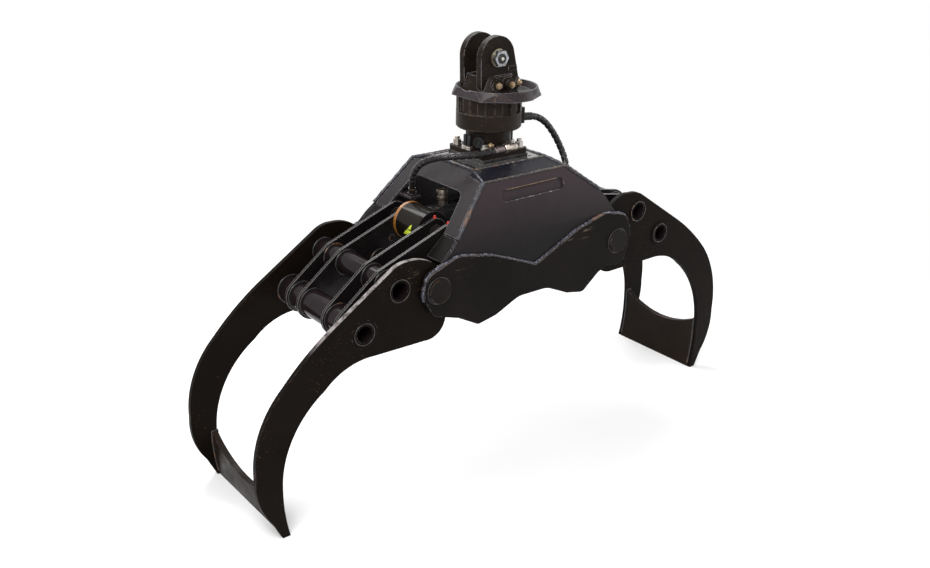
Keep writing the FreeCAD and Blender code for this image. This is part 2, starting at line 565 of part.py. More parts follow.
def build_rotator():
    flange_base = DECK_TOP + ROTOR_PAD
    flange_top = flange_base + FLANGE
    flange = Part.makeBox(2 * FLANGE_HALF, 2 * FLANGE_HALF, FLANGE, V(-FLANGE_HALF, -FLANGE_HALF, flange_base))
    flange = flange.makeFillet(10, [e for e in flange.Edges if abs(e.BoundBox.ZLength - FLANGE) < 0.01])
    keep("rotor_flange", flange)
    bolts = []
    for x in (-70, 70):
        for y in (-70, 70):
            washer = rod_z(x, y, 15, flange_top, flange_top + 3)
            nut = hexagon(24, 14, (x, y, flange_top + 3), (0, 0, 1))
            stud = rod_z(x, y, 8, flange_top + 17, flange_top + 26)
            bolts.append(fuse([washer, nut, stud]))
    keep("flange_bolts", *bolts)
    neck = rod_z(0, 0, NECK_R, flange_top, NECK_TOP)
    band = rod_z(0, 0, BAND_R, NECK_TOP, BAND_TOP)
    band = band.makeChamfer(4, [e for e in band.Edges if e.BoundBox.ZMax < NECK_TOP + 0.1])
    port_lug = Part.makeBox(40, 44, 50, V(BAND_R - 26, -42, NECK_TOP + 1))
    port_lug = port_lug.makeFillet(6, [e for e in port_lug.Edges if abs(e.BoundBox.ZLength - 50) < 0.01])
    shaft = rod_z(0, 0, SHAFT_R, BAND_TOP, SHAFT_TOP)
    keep("rotor", fuse([neck, band, port_lug, shaft]))
    elbow_x, elbow_y, elbow_z = HOSE_1[0]
    elbow = fuse([rod_x(elbow_y, elbow_z, 12, elbow_x, elbow_x + 22), Part.makeSphere(13, V(elbow_x + 24, elbow_y, elbow_z)),
                  rod_y(elbow_x + 24, elbow_z, 10, elbow_y, -30)])
    keep("left_hose_elbow", elbow.cut(rod_z(0, 0, NECK_R, flange_top - 1, NECK_TOP + 1)))
    nipple_x, nipple_y, nipple_z = HOSE_2[0]
    keep("right_hose_nipple", rod_x(nipple_y, nipple_z, 12, BAND_R + 14, nipple_x))

    stator = rod_z(0, 0, BAND_R - 6, BAND_TOP + FACE_GAP, STATOR_TOP)
    ribs = []
    for i in range(12):
        rib = Part.makeBox(9, 26, STATOR_TOP - BAND_TOP - FACE_GAP, V(BAND_R - 9.5, -13, BAND_TOP + FACE_GAP))
        rib.rotate(V(0, 0, 0), V(0, 0, 1), 30 * i + 8)
        ribs.append(rib)
    stator = fuse([stator] + ribs).common(rod_z(0, 0, BAND_R, BAND_TOP, STATOR_TOP))
    stator = stator.cut(rod_z(0, 0, SHAFT_R + RUNNING, BAND_TOP, SHAFT_TOP + 2))
    keep("stator_ring", stator)

    height = COLLAR_TOP - STATOR_TOP
    collar = Part.makeCone(COLLAR_R, COLLAR_R - 12, height, V(COLLAR_X, COLLAR_Y, STATOR_TOP))
    for angle, reach in ((180, 122), (232, 132), (300, 134), (118, 128), (30, 132)):
        block = Part.makeBox(120, 400, height + 2, V(reach, -200, STATOR_TOP - 1))
        block.rotate(V(0, 0, 0), V(0, 0, 1), angle)
        block.translate(V(COLLAR_X, COLLAR_Y, 0))
        collar = collar.cut(block)
    collar = collar.cut(Part.makeCone(COLLAR_R - 26, COLLAR_R - 17, height - 9, V(COLLAR_X, COLLAR_Y, STATOR_TOP + 9)))
    keep("guard_collar", collar)

    head = Part.makeCone(90, 70, HEAD_TOP - STATOR_TOP - 9, V(0, 0, STATOR_TOP + 9))
    ears = []
    for y0 in (-EAR_INNER - EAR, EAR_INNER):
        ear = plate(belt([(EAR_X, EAR_Z, EAR_R), (60, HEAD_TOP - 30, 16), (-60, HEAD_TOP - 30, 16)]), y0, y0 + EAR)
        ears.append(ear)
    boss = rod_x(-EAR_INNER - EAR / 2, 1232, 13, 30, 64)
    head = fuse([head] + ears + [boss])
    for angle in (-112, -84, -58):
        pad = Part.makeCylinder(19, 30, V(62, 0, 1190), V(1, 0, 0))
        pad.rotate(V(0, 0, 0), V(0, 0, 1), angle)
        head = head.fuse(pad)
    head = head.cut(rod_y(EAR_X, EAR_Z, CRANE_BOLT_R, -100, 100)).removeSplitter()
    keep("rotator_head", head)
    plugs = []
    for angle in (-112, -84, -58):
        plug = fuse([hexagon(19, 9, (92, 0, 1190), (1, 0, 0)), rod_x(0, 1190, 6, 101, 105)])
        plug.rotate(V(0, 0, 0), V(0, 0, 1), angle)
        plugs.append(plug)
    keep("port_plugs", *plugs)

    face = EAR_INNER + EAR
    shank = rod_y(EAR_X, EAR_Z, CRANE_BOLT_R, -face - 4 - CRANE_NUT - 2, face)
    head_end = hexagon(46, 19, (EAR_X, face, EAR_Z), (0, 1, 0))
    keep("crane_bolt", fuse([shank, head_end]))
    keep("crane_washer", tube_y(EAR_X, EAR_Z, WASHER_R, CRANE_BOLT_R, -face - 4, -face))
    nut = hexagon(46, CRANE_NUT, (EAR_X, -face - 4, EAR_Z), (0, -1, 0)).cut(rod_y(EAR_X, EAR_Z, CRANE_BOLT_R, -100, 0))
    keep("crane_nut", nut)


def hose(points, radius):
    """A tube along straight runs joined by tangent arcs, each as large as its two runs allow."""
    edges = []
    radii = []
    here = V(*points[0])
    for a, b, c in zip(points, points[1:], points[2:]):
        a, b, c = V(*a), V(*b), V(*c)
        back = (a - b).normalize()
        on = (c - b).normalize()
        turn = math.pi - back.getAngle(on)
        bend = 0.45 * min(a.distanceToPoint(b), c.distanceToPoint(b)) / math.tan(turn / 2)
        reach = bend * math.tan(turn / 2)
        middle = (back + on).normalize()
        depth = bend / math.cos(turn / 2) - bend
        first, last = b + back * reach, b + on * reach
        edges.append(Part.makeLine(here, first))
        edges.append(Part.Arc(first, b + middle * depth, last).toShape())
        here = last
        radii.append(bend)
    edges.append(Part.makeLine(here, V(*points[-1])))
    path = Part.Wire(edges)
    start = V(*points[1]) - V(*points[0])
    profile = Part.Wire([Part.makeCircle(radius, V(*points[0]), start)])
    tube = path.makePipeShell([profile], True, False)
    ratio = tube.Volume / (math.pi * radius ** 2 * path.Length)
    print("hose length %.0f, volume over section times length %.4f, radii %s"
          % (path.Length, ratio, [round(r) for r in radii]))
    return tube


def build_hoses():
    keep("left_hose", hose(HOSE_1, HOSE_R))
    keep("right_hose", hose(HOSE_2, HOSE_R))


build_jaw("left", LEFT_JAW_HALF, LEFT_TIP_TOP, (0, 0), (0, 0), LEFT_TUBE_PROUD, lambda s: s, True)
build_jaw("right", RIGHT_JAW_HALF, RIGHT_TIP_TOP, (RIGHT_ARM_OUT, RIGHT_ARM_RISE), (RIGHT_TUBE_OUT, RIGHT_TUBE_RISE),
          RIGHT_TUBE_PROUD, flip_x, False)
build_frame()
build_cylinder()
build_tie_rod()
build_rotator()
build_hoses()

os.makedirs("parts", exist_ok=True)
for name, shape in parts.items():
    if not shape.isValid() or not shape.Solids:
        print("bad solid:", name)
    shape.exportStep("parts/" + name + ".step")
print(len(parts), "nodes")
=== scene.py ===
"""Looks of the log grapple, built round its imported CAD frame.

Metres, in the row frame: +X along the jaws' opening, +Y across them, +Z up.
"""

import json
import math

import bmesh
import bpy
from mathutils import Matrix, Vector


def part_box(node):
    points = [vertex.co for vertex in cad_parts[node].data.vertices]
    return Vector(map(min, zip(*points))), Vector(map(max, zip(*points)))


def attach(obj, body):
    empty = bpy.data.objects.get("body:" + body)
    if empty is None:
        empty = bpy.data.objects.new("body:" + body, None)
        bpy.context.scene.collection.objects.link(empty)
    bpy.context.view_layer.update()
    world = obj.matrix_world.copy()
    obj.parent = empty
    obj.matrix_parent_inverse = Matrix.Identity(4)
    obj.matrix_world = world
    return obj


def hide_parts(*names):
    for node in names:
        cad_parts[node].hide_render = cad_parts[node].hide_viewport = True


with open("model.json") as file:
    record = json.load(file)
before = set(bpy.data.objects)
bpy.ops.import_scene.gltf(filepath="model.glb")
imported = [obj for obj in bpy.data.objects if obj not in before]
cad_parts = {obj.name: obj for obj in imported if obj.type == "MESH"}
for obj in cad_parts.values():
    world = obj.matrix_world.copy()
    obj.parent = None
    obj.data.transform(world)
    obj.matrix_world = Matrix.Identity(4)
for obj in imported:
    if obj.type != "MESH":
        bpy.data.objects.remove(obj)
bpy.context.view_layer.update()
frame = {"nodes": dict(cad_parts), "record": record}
nodes = frame["nodes"]
slot_of = {part["node"]: part["material_slot"] for part in frame["record"]["subparts"]}

# Camera fitted to the photograph
PHOTO_WIDTH = 930
FOCAL_PIXELS = 1039.27
SENSOR_MM = 36.0
CAMERA_PLACE = Vector((-2.0652, -2.4994, 1.8298))
CAMERA_AZIMUTH = math.radians(-38.394)
CAMERA_ELEVATION = math.radians(22.286)
CAMERA_ROLL = math.radians(0.918)

# Lamps: name, place, aim, size and watts
LAMPS = (
    ("key", (-2.6, -1.6, 3.4), (0, 0, 0.7), (2.2, 2.2), 160),
    ("overhead", (0.4, 1.6, 3.2), (0, 0, 0.8), (2.6, 1.6), 110),
    ("right_fill", (3.2, -1.8, 1.8), (0.3, 0, 0.5), (1.6, 2.2), 40),
)
WORLD_LIGHT = 0.55
FLOOR_REACH = 40
FLOOR_GREY = 0.88
FLOOR_FADE = (1.0, 2.8)

# Frame, as in the CAD source: faces, and the corners (x, y, z) down each end plate's edge
SIDE_FACE_Y = 0.232
DOUBLER_FACE_Y = 0.242
DECK_TOP = 0.950
DECK_HALF = 0.110
SHOULDER_TOP = 0.930
SHOULDER_HALF = 0.182
LEFT_END = ((-0.147, DECK_HALF, DECK_TOP), (-0.165, SHOULDER_HALF, SHOULDER_TOP),
            (-0.292, 0.2238, 0.788))
RIGHT_END = ((0.144, DECK_HALF, DECK_TOP), (0.1723, SHOULDER_HALF, SHOULDER_TOP),
             (0.301, 0.2088, 0.839))
# Corners of the slot in the near side, from its left top round to its left foot
SLOT = ((-0.104, -0.192, 0.896), (0.150, -0.191, 0.898), (0.154, -0.202, 0.863),
        (-0.100, -0.202, 0.861))
PIN_HEAD_R = 0.040

# Jaws, as in the CAD source: tubes as (x, z, radius), and the lugs' faces across
UPPER_TUBE = (0.497, 0.673, 0.038)
LOWER_TUBE = (0.621, 0.569, 0.044)
PIVOT_TUBE = (0.372, 0.650, 0.038)
BORE_RINGS = (0.0345, 0.0335)
LUG_FACES = (0.067, 0.077, 0.136, 0.146)
JAW_PLATE = 0.016
# Name, hand, half width, the tubes' end face, and how far the tubes lie further out and up
JAWS = (
    ("left", -1, 0.220, 0.221, (0, 0)),
    ("right", 1, 0.192, 0.195, (0.020, 0.040)),
)

# Rotator's neck: its port, and what stands on the flange round it, turns in degrees from +X
FLANGE_TOP = 0.9818
NECK_R = 0.0705
NECK_PORT_Z = 1.009
NECK_PORT_TURN = -150
VALVE_PLACE = (0.086, -124)
STUD_RING_R = 0.084
STUD_TURNS = (-174, 172, 95, -10)

# Hoses: routes, and where a ferrule and a guard begin and end along them
HOSE_R = 0.009
LEFT_HOSE = [
    (-0.005, -0.104, 0.996), (-0.042, -0.104, 0.996), (-0.088, -0.107, 0.994),
    (-0.138, -0.094, 0.991), (-0.186, -0.064, 0.988), (-0.222, -0.022, 0.981),
    (-0.243, 0.022, 0.960), (-0.247, 0.058, 0.926), (-0.240, 0.084, 0.885),
    (-0.228, 0.098, 0.842),
]
RIGHT_HOSE = [
    (0.122, -0.022, 1.062), (0.166, -0.022, 1.062), (0.214, -0.024, 1.040),
    (0.248, -0.032, 1.000), (0.267, -0.050, 0.954), (0.272, -0.074, 0.910),
    (0.264, -0.094, 0.871), (0.248, -0.104, 0.838),
]
LEFT_FERRULE = (0.019, 0.060)
LEFT_GUARD = (0.062, 0.415)
RIGHT_FERRULE = (0.0, 0.040)
RIGHT_GUARD = (0.043, 0.300)
FERRULE_R = 0.0128
FERRULE_LIP_R = 0.0118
CRIMP_R = 0.0116
CRIMP_EVERY = 9
CRIMP_MARGIN = 6
FERRULE_STEP = 0.001
GUARD_PITCH = 0.021
GUARD_WIDTH = 0.0168
GUARD_THICK = 0.0018
GUARD_EDGE = 0.8
GUARD_STEPS = 16

# Weld beads: widths, and how they ripple and where they lie
RIPPLE = 0.0035
RIPPLE_DIP = 0.84
BEAD_OFFSET = 0.0015
BEAD_SEAT = 0.001
DOUBLER_BEAD = 0.0135
CORNER_BEAD = 0.0130
RIDGE_BEAD = 0.008
JAW_BEAD = 0.0075
PIN_RUST_BEAD = 0.0045
SLOT_BEAD = 0.0036
BORE_BEAD = 0.0034
DOUBLER_WELD_FROM = 0.622
TIP_WELD_FROM = 0.012
SLOT_CORNER = 0.10
# Part of the slot's right end that carries a painted glint
SLOT_END_GLINT = (0.35, 0.75)
RING_POINTS = 72

# What counts as one point, as on a plane and as an edge, in metres and radians
MERGE_DISTANCE = 1e-6
CAD_MERGE_DISTANCE = 1e-5
PLANE_DISTANCE = 1e-4
EDGE_ANGLE = 0.5
SMOOTH_BELOW = math.radians(35)

# Small pieces turned from profiles of (radius, height)
HEX = 6
HOSE_NUT = [(0, 0), (0.0134, 0), (0.0146, 0.0010), (0.0146, 0.0150), (0.0134, 0.0162), (0, 0.0162)]
CAP = [(0, 0), (0.0058, 0), (0.0062, 0.0012), (0.0052, 0.0022), (0.0046, 0.0055), (0.0034, 0.0082),
       (0.0014, 0.0090), (0, 0.0091)]
CAP_ROW = (-0.141, -0.072, 0.072)
CAP_SEAT = 0.0002
SEAL_RING = [(0.0575, 0.0), (0.0600, 0.0), (0.0608, 0.0010), (0.0609, 0.0120), (0.0600, 0.0132),
             (0.0575, 0.0132), (0.0575, 0.0)]
SEAL_Y = 0.0530
STUD_RIM = [(0.0062, 0), (0.0144, 0), (0.0144, 0.0008), (0.0132, 0.0022), (0.0078, 0.0022),
            (0.0062, 0.0008), (0.0062, 0)]
STUD_CENTRE = [(0, 0), (0.0058, 0), (0.0058, 0.0010), (0.0048, 0.0018), (0, 0.0020)]
STUD_GAP = 0.0001
SLEEVE = [(0, 0.002), (0.0165, 0.002), (0.0175, 0.0035), (0.0175, 0.0130), (0.0160, 0.0145),
          (0.0150, 0.0150), (0.0152, 0.0330), (0.0140, 0.0350), (0.0100, 0.0355),
          (0.0090, 0.0340), (0, 0.0340)]
SLEEVE_IN = 0.015
SLEEVE_DROP = 0.0310
PORT_PLUG = [(0, 0), (0.0175, 0), (0.0180, 0.002), (0.0180, 0.014), (0.0165, 0.016),
             (0.0120, 0.016), (0.0115, 0.012), (0.0070, 0.012), (0.0065, 0.015), (0, 0.0155)]
VALVE = [(0, 0), (0.0105, 0), (0.0105, 0.008), (0.0085, 0.009), (0.0085, 0.017),
         (0.0100, 0.018), (0.0100, 0.024), (0.0085, 0.0265), (0.0040, 0.0270),
         (0.0036, 0.0300), (0, 0.0305)]
STUD_NUT = [(0, 0), (0.0125, 0), (0.0132, 0.0008), (0.0132, 0.0100), (0.0120, 0.0112), (0, 0.0112)]
STUD = [(0, 0.0108), (0.0062, 0.0108), (0.0062, 0.0440), (0.0052, 0.0455), (0, 0.0456)]

# Tag round the cylinder's eye: each pair is its upper end and the change to its lower end
TAG_TURN = (160, 38)
TAG_Y = (-0.030, 0.020)
TAG_WIDTH = 0.044
TAG_LIFT = 0.0006
TAG_THICK = 0.0005

# Colours chosen from the photograph, linear
BLACK_BROWN = (0.0062, 0.0052, 0.0054)
BLACK_BLUE = (0.0075, 0.0066, 0.0074)
# Lighter brown of the frame's upper part: a painted sheen
LIT_TOP_BROWN = (0.030, 0.021, 0.024)
JAW_BLACK = (0.0044, 0.0030, 0.0024)
JAW_BROWN = (0.0066, 0.0045, 0.0034)
GLOSS_BLACK = (0.008, 0.0075, 0.008)
# Grey of rubbed edges, which also paints the highlights along them
WORN_AND_LIT_GREY = (0.16, 0.155, 0.165)
RUST = (0.17, 0.075, 0.028)
DUST = (0.12, 0.095, 0.07)
BROWN_DUST = (0.055, 0.040, 0.030)
SPECK_TAN = (0.16, 0.095, 0.05)
SCRAPE_SAND = (0.20, 0.15, 0.10)
SCUFF_GREY = (0.09, 0.08, 0.07)

# How paint ages and where light is painted on it: heights over which a painted sheen lightens the
# top and over which dust and painted shading settle, the most that a layer covers, and how much
# further than a rubbed edge its rust reaches
LIT_TOP_HEIGHTS = (0.74, 0.96)
TOP_DUST_AND_SHADING_HEIGHTS = (0.54, 0.61)
SPECK_COVER = 0.75
SCRAPE_COVER = 0.8
SCRAPE_SCALES = (12.0, 60.0, 150.0)
SCRAPE_LEAN = math.radians(-9)
DUST_COVER = 0.75
RUST_REACH = 1.8
RUST_BREAKUP = 38.0
GRIME_SCALE = 14.0
BEVEL_SAMPLES = 4
# Cosines between a rounded and a true normal, on flat metal and on a rubbed edge that also carries
# a painted highlight
EDGE_COSINES = (0.995, 0.86)


def new_object(name, data):
    """An object with this data, linked into the scene."""
    obj = bpy.data.objects.new(name, data)
    bpy.context.scene.collection.objects.link(obj)
    return obj


def set_camera():
    """The photograph's camera, from its azimuth, elevation and roll."""
    data = bpy.data.cameras.new("photo_camera")
    data.sensor_width = SENSOR_MM
    data.lens = FOCAL_PIXELS / PHOTO_WIDTH * SENSOR_MM
    level = math.cos(CAMERA_ELEVATION)
    back = Vector((math.sin(CAMERA_AZIMUTH) * level, -math.cos(CAMERA_AZIMUTH) * level,
                   math.sin(CAMERA_ELEVATION)))
    side = Vector((0, 0, 1)).cross(back).normalized()
    up = back.cross(side)
    rolled_side = side * math.cos(CAMERA_ROLL) + up * math.sin(CAMERA_ROLL)
    rolled_up = up * math.cos(CAMERA_ROLL) - side * math.sin(CAMERA_ROLL)
    turn = Matrix((rolled_side, rolled_up, back)).transposed().to_4x4()
    camera = new_object("photo_camera", data)
    camera.matrix_world = Matrix.Translation(CAMERA_PLACE) @ turn
    bpy.context.scene.camera = camera


def soft_lamp(name, place, aim, size, power):
    """An area lamp aimed at a point."""
    data = bpy.data.lights.new(name, "AREA")
    data.shape = "RECTANGLE"
    data.size, data.size_y = size
    data.energy = power
    lamp = new_object(name, data)
    lamp.location = place
    lamp.rotation_mode = "QUATERNION"
    lamp.rotation_quaternion = (Vector(aim) - Vector(place)).to_track_quat("-Z", "Y")


class Tree:
    """Short calls for building a node tree."""

    def __init__(self, tree):
        self.tree = tree

    def add(self, kind, **settings):
        node = self.tree.nodes.new(kind)
        for name, value in settings.items():
            setattr(node, name, value)
        return node

    def join(self, source, target):
        self.tree.links.new(source, target)

    def feed(self, socket, value):
        """Joins a socket or sets a value, with a colour given as three numbers."""
        if isinstance(value, bpy.types.NodeSocket):
            self.join(value, socket)
        elif isinstance(value, (tuple, list)) and len(value) == 3 and socket.type == "RGBA":
            socket.default_value = (*value, 1)
        else:
            socket.default_value = value

    def math(self, operation, a, b=0.0, clamp=False):
        node = self.add("ShaderNodeMath", operation=operation, use_clamp=clamp)
        self.feed(node.inputs[0], a)
        self.feed(node.inputs[1], b)
        return node.outputs[0]

    def plus(self, a, b, clamp=False):
        return self.math("ADD", a, b, clamp)

    def times(self, a, b, clamp=False):
        return self.math("MULTIPLY", a, b, clamp)

    def place(self):
        return self.add("ShaderNodeTexCoord").outputs["Object"]

    def noise(self, vector, scale, detail=3.0, roughness=0.55, distortion=0.0):
        node = self.add("ShaderNodeTexNoise")
        self.join(vector, node.inputs["Vector"])
        for label, value in (("Scale", scale), ("Detail", detail), ("Roughness", roughness),
                             ("Distortion", distortion)):
            self.feed(node.inputs[label], value)
        return node.outputs["Fac"]

    def stretch(self, value, low, high, to_low=0.0, to_high=1.0, kind="SMOOTHSTEP"):
        node = self.add("ShaderNodeMapRange", interpolation_type=kind)
        for socket, given in zip(node.inputs[:5], (value, low, high, to_low, to_high)):
            self.feed(socket, given)
        return node.outputs[0]

    def split(self, vector):
        node = self.add("ShaderNodeSeparateXYZ")
        self.join(vector, node.inputs[0])
        return node.outputs

    def mix(self, share, a, b):
        node = self.add("ShaderNodeMix", data_type="RGBA")
        self.feed(node.inputs["Factor"], share)
        self.feed(node.inputs[6], a)
        self.feed(node.inputs[7], b)
        return node.outputs[2]

    def blend(self, a, b, share):
        """A share of a, and b for the rest."""
        return self.plus(self.times(a, share), self.times(b, 1 - share))

    def above(self, value, start, amount, reach, soft):
        """1 where the value passes a limit, which falls from start by reach as the amount grows."""
        limit = self.math("SUBTRACT", start, self.times(amount, reach))
        return self.stretch(value, limit, self.plus(limit, soft))

    def use(self, group, **values):
        node = self.add("ShaderNodeGroup", node_tree=group)
        for label, value in values.items():
            node.inputs[label].default_value = value
        return node.outputs[0]


def new_group(name, output, **inputs):
    """An empty shader group with one float output and the float inputs given by label."""
    tree = bpy.data.node_groups.new(name, "ShaderNodeTree")
    for label, value in inputs.items():
        socket = tree.interface.new_socket(label, in_out="INPUT", socket_type="NodeSocketFloat")
        socket.default_value = value
    tree.interface.new_socket(output, in_out="OUTPUT", socket_type="NodeSocketFloat")
    build = Tree(tree)
    given = build.add("NodeGroupInput").outputs
    return build, given, build.add("NodeGroupOutput").inputs[output]


def edge_wear_and_highlight_group():
    """Mask of rubbed edges and of painted edge highlights: where a rounded normal parts from the
    true one, broken up by noise.
    """
    build, given, mask = new_group("edge_wear_and_highlight", "Mask", Radius=0.003, Amount=0.5, Breakup=60.0)
    bevel = build.add("ShaderNodeBevel", samples=BEVEL_SAMPLES)
    build.join(given["Radius"], bevel.inputs["Radius"])
    cosine = build.add("ShaderNodeVectorMath", operation="DOT_PRODUCT")
    build.join(bevel.outputs[0], cosine.inputs[0])
    build.join(build.add("ShaderNodeNewGeometry").outputs["Normal"], cosine.inputs[1])
    edge = build.stretch(cosine.outputs["Value"], *EDGE_COSINES)
    place = build.place()
    speckle = build.noise(place, given["Breakup"], detail=4.0, roughness=0.7)
    patch = build.noise(place, scale=7.0, detail=2.0)
    left = build.above(build.blend(speckle, patch, 0.6), 0.78, given["Amount"], reach=0.5, soft=0.1)
    build.join(build.times(edge, left, clamp=True), mask)
    return build.tree


def grime_group():
    """Mask of dust and dried mud: thicker on faces that look up, in patches."""
    build, given, mask = new_group("grime", "Mask", Amount=0.5, Scale=14.0)
    coordinates = build.add("ShaderNodeTexCoord").outputs
    upward = build.stretch(build.split(coordinates["Normal"])["Z"], -0.2, 1.0, 0.35, 1.0)
    patch = build.noise(coordinates["Object"], given["Scale"], detail=6.0, roughness=0.65,
                        distortion=0.4)
    fine = build.noise(coordinates["Object"], scale=260.0, detail=2.0)
    dusty = build.above(build.blend(patch, fine, 0.8), 0.85, given["Amount"], reach=0.5, soft=0.16)
    build.join(build.times(dusty, upward, clamp=True), mask)
    return build.tree


def paint_skin_group():
    """Height of sprayed paint over rolled plate: fine peel over slow waves."""
    build, given, height = new_group("paint_skin", "Height", Peel=1.0, Waves=1.0)
    place = build.place()
    peel = build.times(build.noise(place, scale=420.0, detail=2.0), given["Peel"])
    waves = build.times(build.noise(place, scale=9.0, detail=2.0), given["Waves"])
    build.join(build.plus(build.times(peel, 0.06), waves), height)
    return build.tree


def speckle_group():
    """Mask of small chips and spatter, in loose patches."""
    build, given, mask = new_group("speckle", "Mask", Amount=0.5, Scale=190.0)
    place = build.place()
    fine = build.noise(place, given["Scale"], detail=2.0, roughness=0.6)
    patch = build.stretch(build.noise(place, scale=6.0, detail=2.0), 0.40, 0.62)
    spots = build.above(fine, 0.76, given["Amount"], reach=0.14, soft=0.04)
    build.join(build.times(spots, patch, clamp=True), mask)
    return build.tree


def scrape_group():
    """Mask of long dry scrapes drawn out along X, on what lies above a height."""
    build, given, mask = new_group("scrapes", "Mask", Amount=0.5, From=0.66, To=0.72)
    place = build.place()
    drawn = build.add("ShaderNodeMapping")
    drawn.inputs["Scale"].default_value = SCRAPE_SCALES
    drawn.inputs["Rotation"].default_value = (0, SCRAPE_LEAN, 0)
    build.join(place, drawn.inputs["Vector"])
    streak = build.noise(drawn.outputs[0], scale=1.0, detail=5.0, roughness=0.65)
    patch = build.noise(place, scale=11.0, detail=2.0)
    drawn_out = build.blend(streak, patch, 0.7)
    lines = build.above(drawn_out, 0.74, given["Amount"], reach=0.25, soft=0.06)
    high = build.stretch(build.split(place)["Z"], given["From"], given["To"])
    build.join(build.times(lines, high, clamp=True), mask)
    return build.tree


EDGE_WEAR_AND_HIGHLIGHT = edge_wear_and_highlight_group()
GRIME = grime_group()
PAINT_SKIN = paint_skin_group()
SPECKLE = speckle_group()
SCRAPES = scrape_group()


def new_material(name, metallic=0.0, specular=0.5, coat=0.0, coat_roughness=0.1):
    """A material, its tree, and its surface's inputs."""
    material = bpy.data.materials.new(name)
    material.use_nodes = True
    surface = material.node_tree.nodes["Principled BSDF"].inputs
    surface["Metallic"].default_value = metallic
    surface["Specular IOR Level"].default_value = specular
    surface["Coat Weight"].default_value = coat
    surface["Coat Roughness"].default_value = coat_roughness
    return material, Tree(material.node_tree), surface


def finish_normal(build, surface, height, strength, distance=0.001, round_edge=0.0015):
    """Rounds the edges in the normal and adds the skin's relief over it."""
    bevel = build.add("ShaderNodeBevel", samples=BEVEL_SAMPLES)
    bevel.inputs["Radius"].default_value = round_edge
    bump = build.add("ShaderNodeBump")
    bump.inputs["Strength"].default_value = strength
    bump.inputs["Distance"].default_value = distance
    build.join(height, bump.inputs["Height"])
    build.join(bevel.outputs[0], bump.inputs["Normal"])
    build.join(bump.outputs[0], surface["Normal"])


def mark_paint(build, colour, specks, scrapes):
    """Chips and scrapes over a colour."""
    if specks:
        spots = build.use(SPECKLE, Amount=specks)
        colour = build.mix(build.times(spots, SPECK_COVER), colour, SPECK_TAN)
    if scrapes:
        lines = build.use(SCRAPES, Amount=scrapes)
        colour = build.mix(build.times(lines, SCRAPE_COVER), colour, SCRAPE_SAND)
    return colour


def wear_and_highlight_edges(build, colour, worn_and_lit, edge_amount, radius, rust, breakup):
    """Rubbed edges over a colour, whose colour also paints the highlights along them, with rust
    beside them.
    """
    rusty = build.use(EDGE_WEAR_AND_HIGHLIGHT, Radius=radius * RUST_REACH, Amount=rust, Breakup=RUST_BREAKUP)
    rubbed_and_lit = build.use(EDGE_WEAR_AND_HIGHLIGHT, Radius=radius, Amount=edge_amount, Breakup=breakup)
    return build.mix(rubbed_and_lit, build.mix(rusty, colour, RUST), worn_and_lit)


def painted_steel(name, dark, light, roughness, worn_and_lit=WORN_AND_LIT_GREY, edge_amount=0.5, edge_radius=0.003,
                  breakup=90.0, rust=0.2, dust=0.3, dust_colour=DUST, specular=0.4, peel=1.0,
                  waves=1.0, coat=0.0, coat_roughness=0.1, fade_and_sheen=None, specks=0.0, scrapes=0.0,
                  top_dust_and_shading=None, end_face=None):
    """Sprayed steel: clouded colour, rubbed edges whose colour also paints edge highlights, rust
    beside them and dust on what looks up.

    fade_and_sheen is a painted sheen, a lighter colour high up; top_dust_and_shading the colour of
    dust and painted shading on high upward faces and edges; and end_face the colour of faces square
    to Y, which have no coat.
    """
    material, build, surface = new_material(name, specular=specular, coat=coat,
                                            coat_roughness=coat_roughness)
    coordinates = build.add("ShaderNodeTexCoord").outputs
    place = coordinates["Object"]
    height_now = build.split(place)["Z"]
    facing = build.split(coordinates["Normal"])
    cloud = build.stretch(build.noise(place, scale=5.0, detail=4.0, distortion=0.3), 0.3, 0.7)
    colour = build.mix(cloud, dark, light)
    # Painted sheen: a lighter colour towards the top, where the lamps light the paint
    if fade_and_sheen:
        high = build.plus(height_now, build.times(build.noise(place, scale=3.0), 0.08))
        colour = build.mix(build.stretch(high, *LIT_TOP_HEIGHTS), colour, fade_and_sheen)
    if end_face:
        square = build.stretch(build.math("ABSOLUTE", facing["Y"]), 0.9, 0.97)
        colour = build.mix(square, colour, end_face)
        build.join(build.times(build.math("SUBTRACT", 1.0, square), coat), surface["Coat Weight"])
    colour = mark_paint(build, colour, specks, scrapes)
    # Rubbed edges: wear, and a painted highlight along the edges in the same colour
    colour = wear_and_highlight_edges(build, colour, worn_and_lit, edge_amount, edge_radius, rust, breakup)
    dusty = build.use(GRIME, Amount=dust, Scale=GRIME_SCALE)
    colour = build.mix(build.times(dusty, DUST_COVER), colour, dust_colour)
    # Upward faces high up take a colour that is partly dust and partly painted shading: on the jaws
    # a painted sheen along their tops
    if top_dust_and_shading:
        upward = build.times(build.stretch(facing["Z"], 0.3, 0.75),
                             build.stretch(height_now, *TOP_DUST_AND_SHADING_HEIGHTS))
        top_patches = build.stretch(build.noise(place, scale=48.0, detail=5.0, roughness=0.7),
                                0.36, 0.56, 0.25, 1.0)
        colour = build.mix(build.times(upward, top_patches), colour, top_dust_and_shading)
    build.join(colour, surface["Base Color"])
    smudge = build.stretch(build.noise(place, scale=26.0, detail=5.0, roughness=0.65),
                           0.3, 0.75, -0.07, 0.12)
    rough = build.plus(build.plus(smudge, roughness), build.times(dusty, 0.4), clamp=True)
    build.join(rough, surface["Roughness"])
    finish_normal(build, surface, build.use(PAINT_SKIN, Peel=peel, Waves=waves), 0.35)
    return material


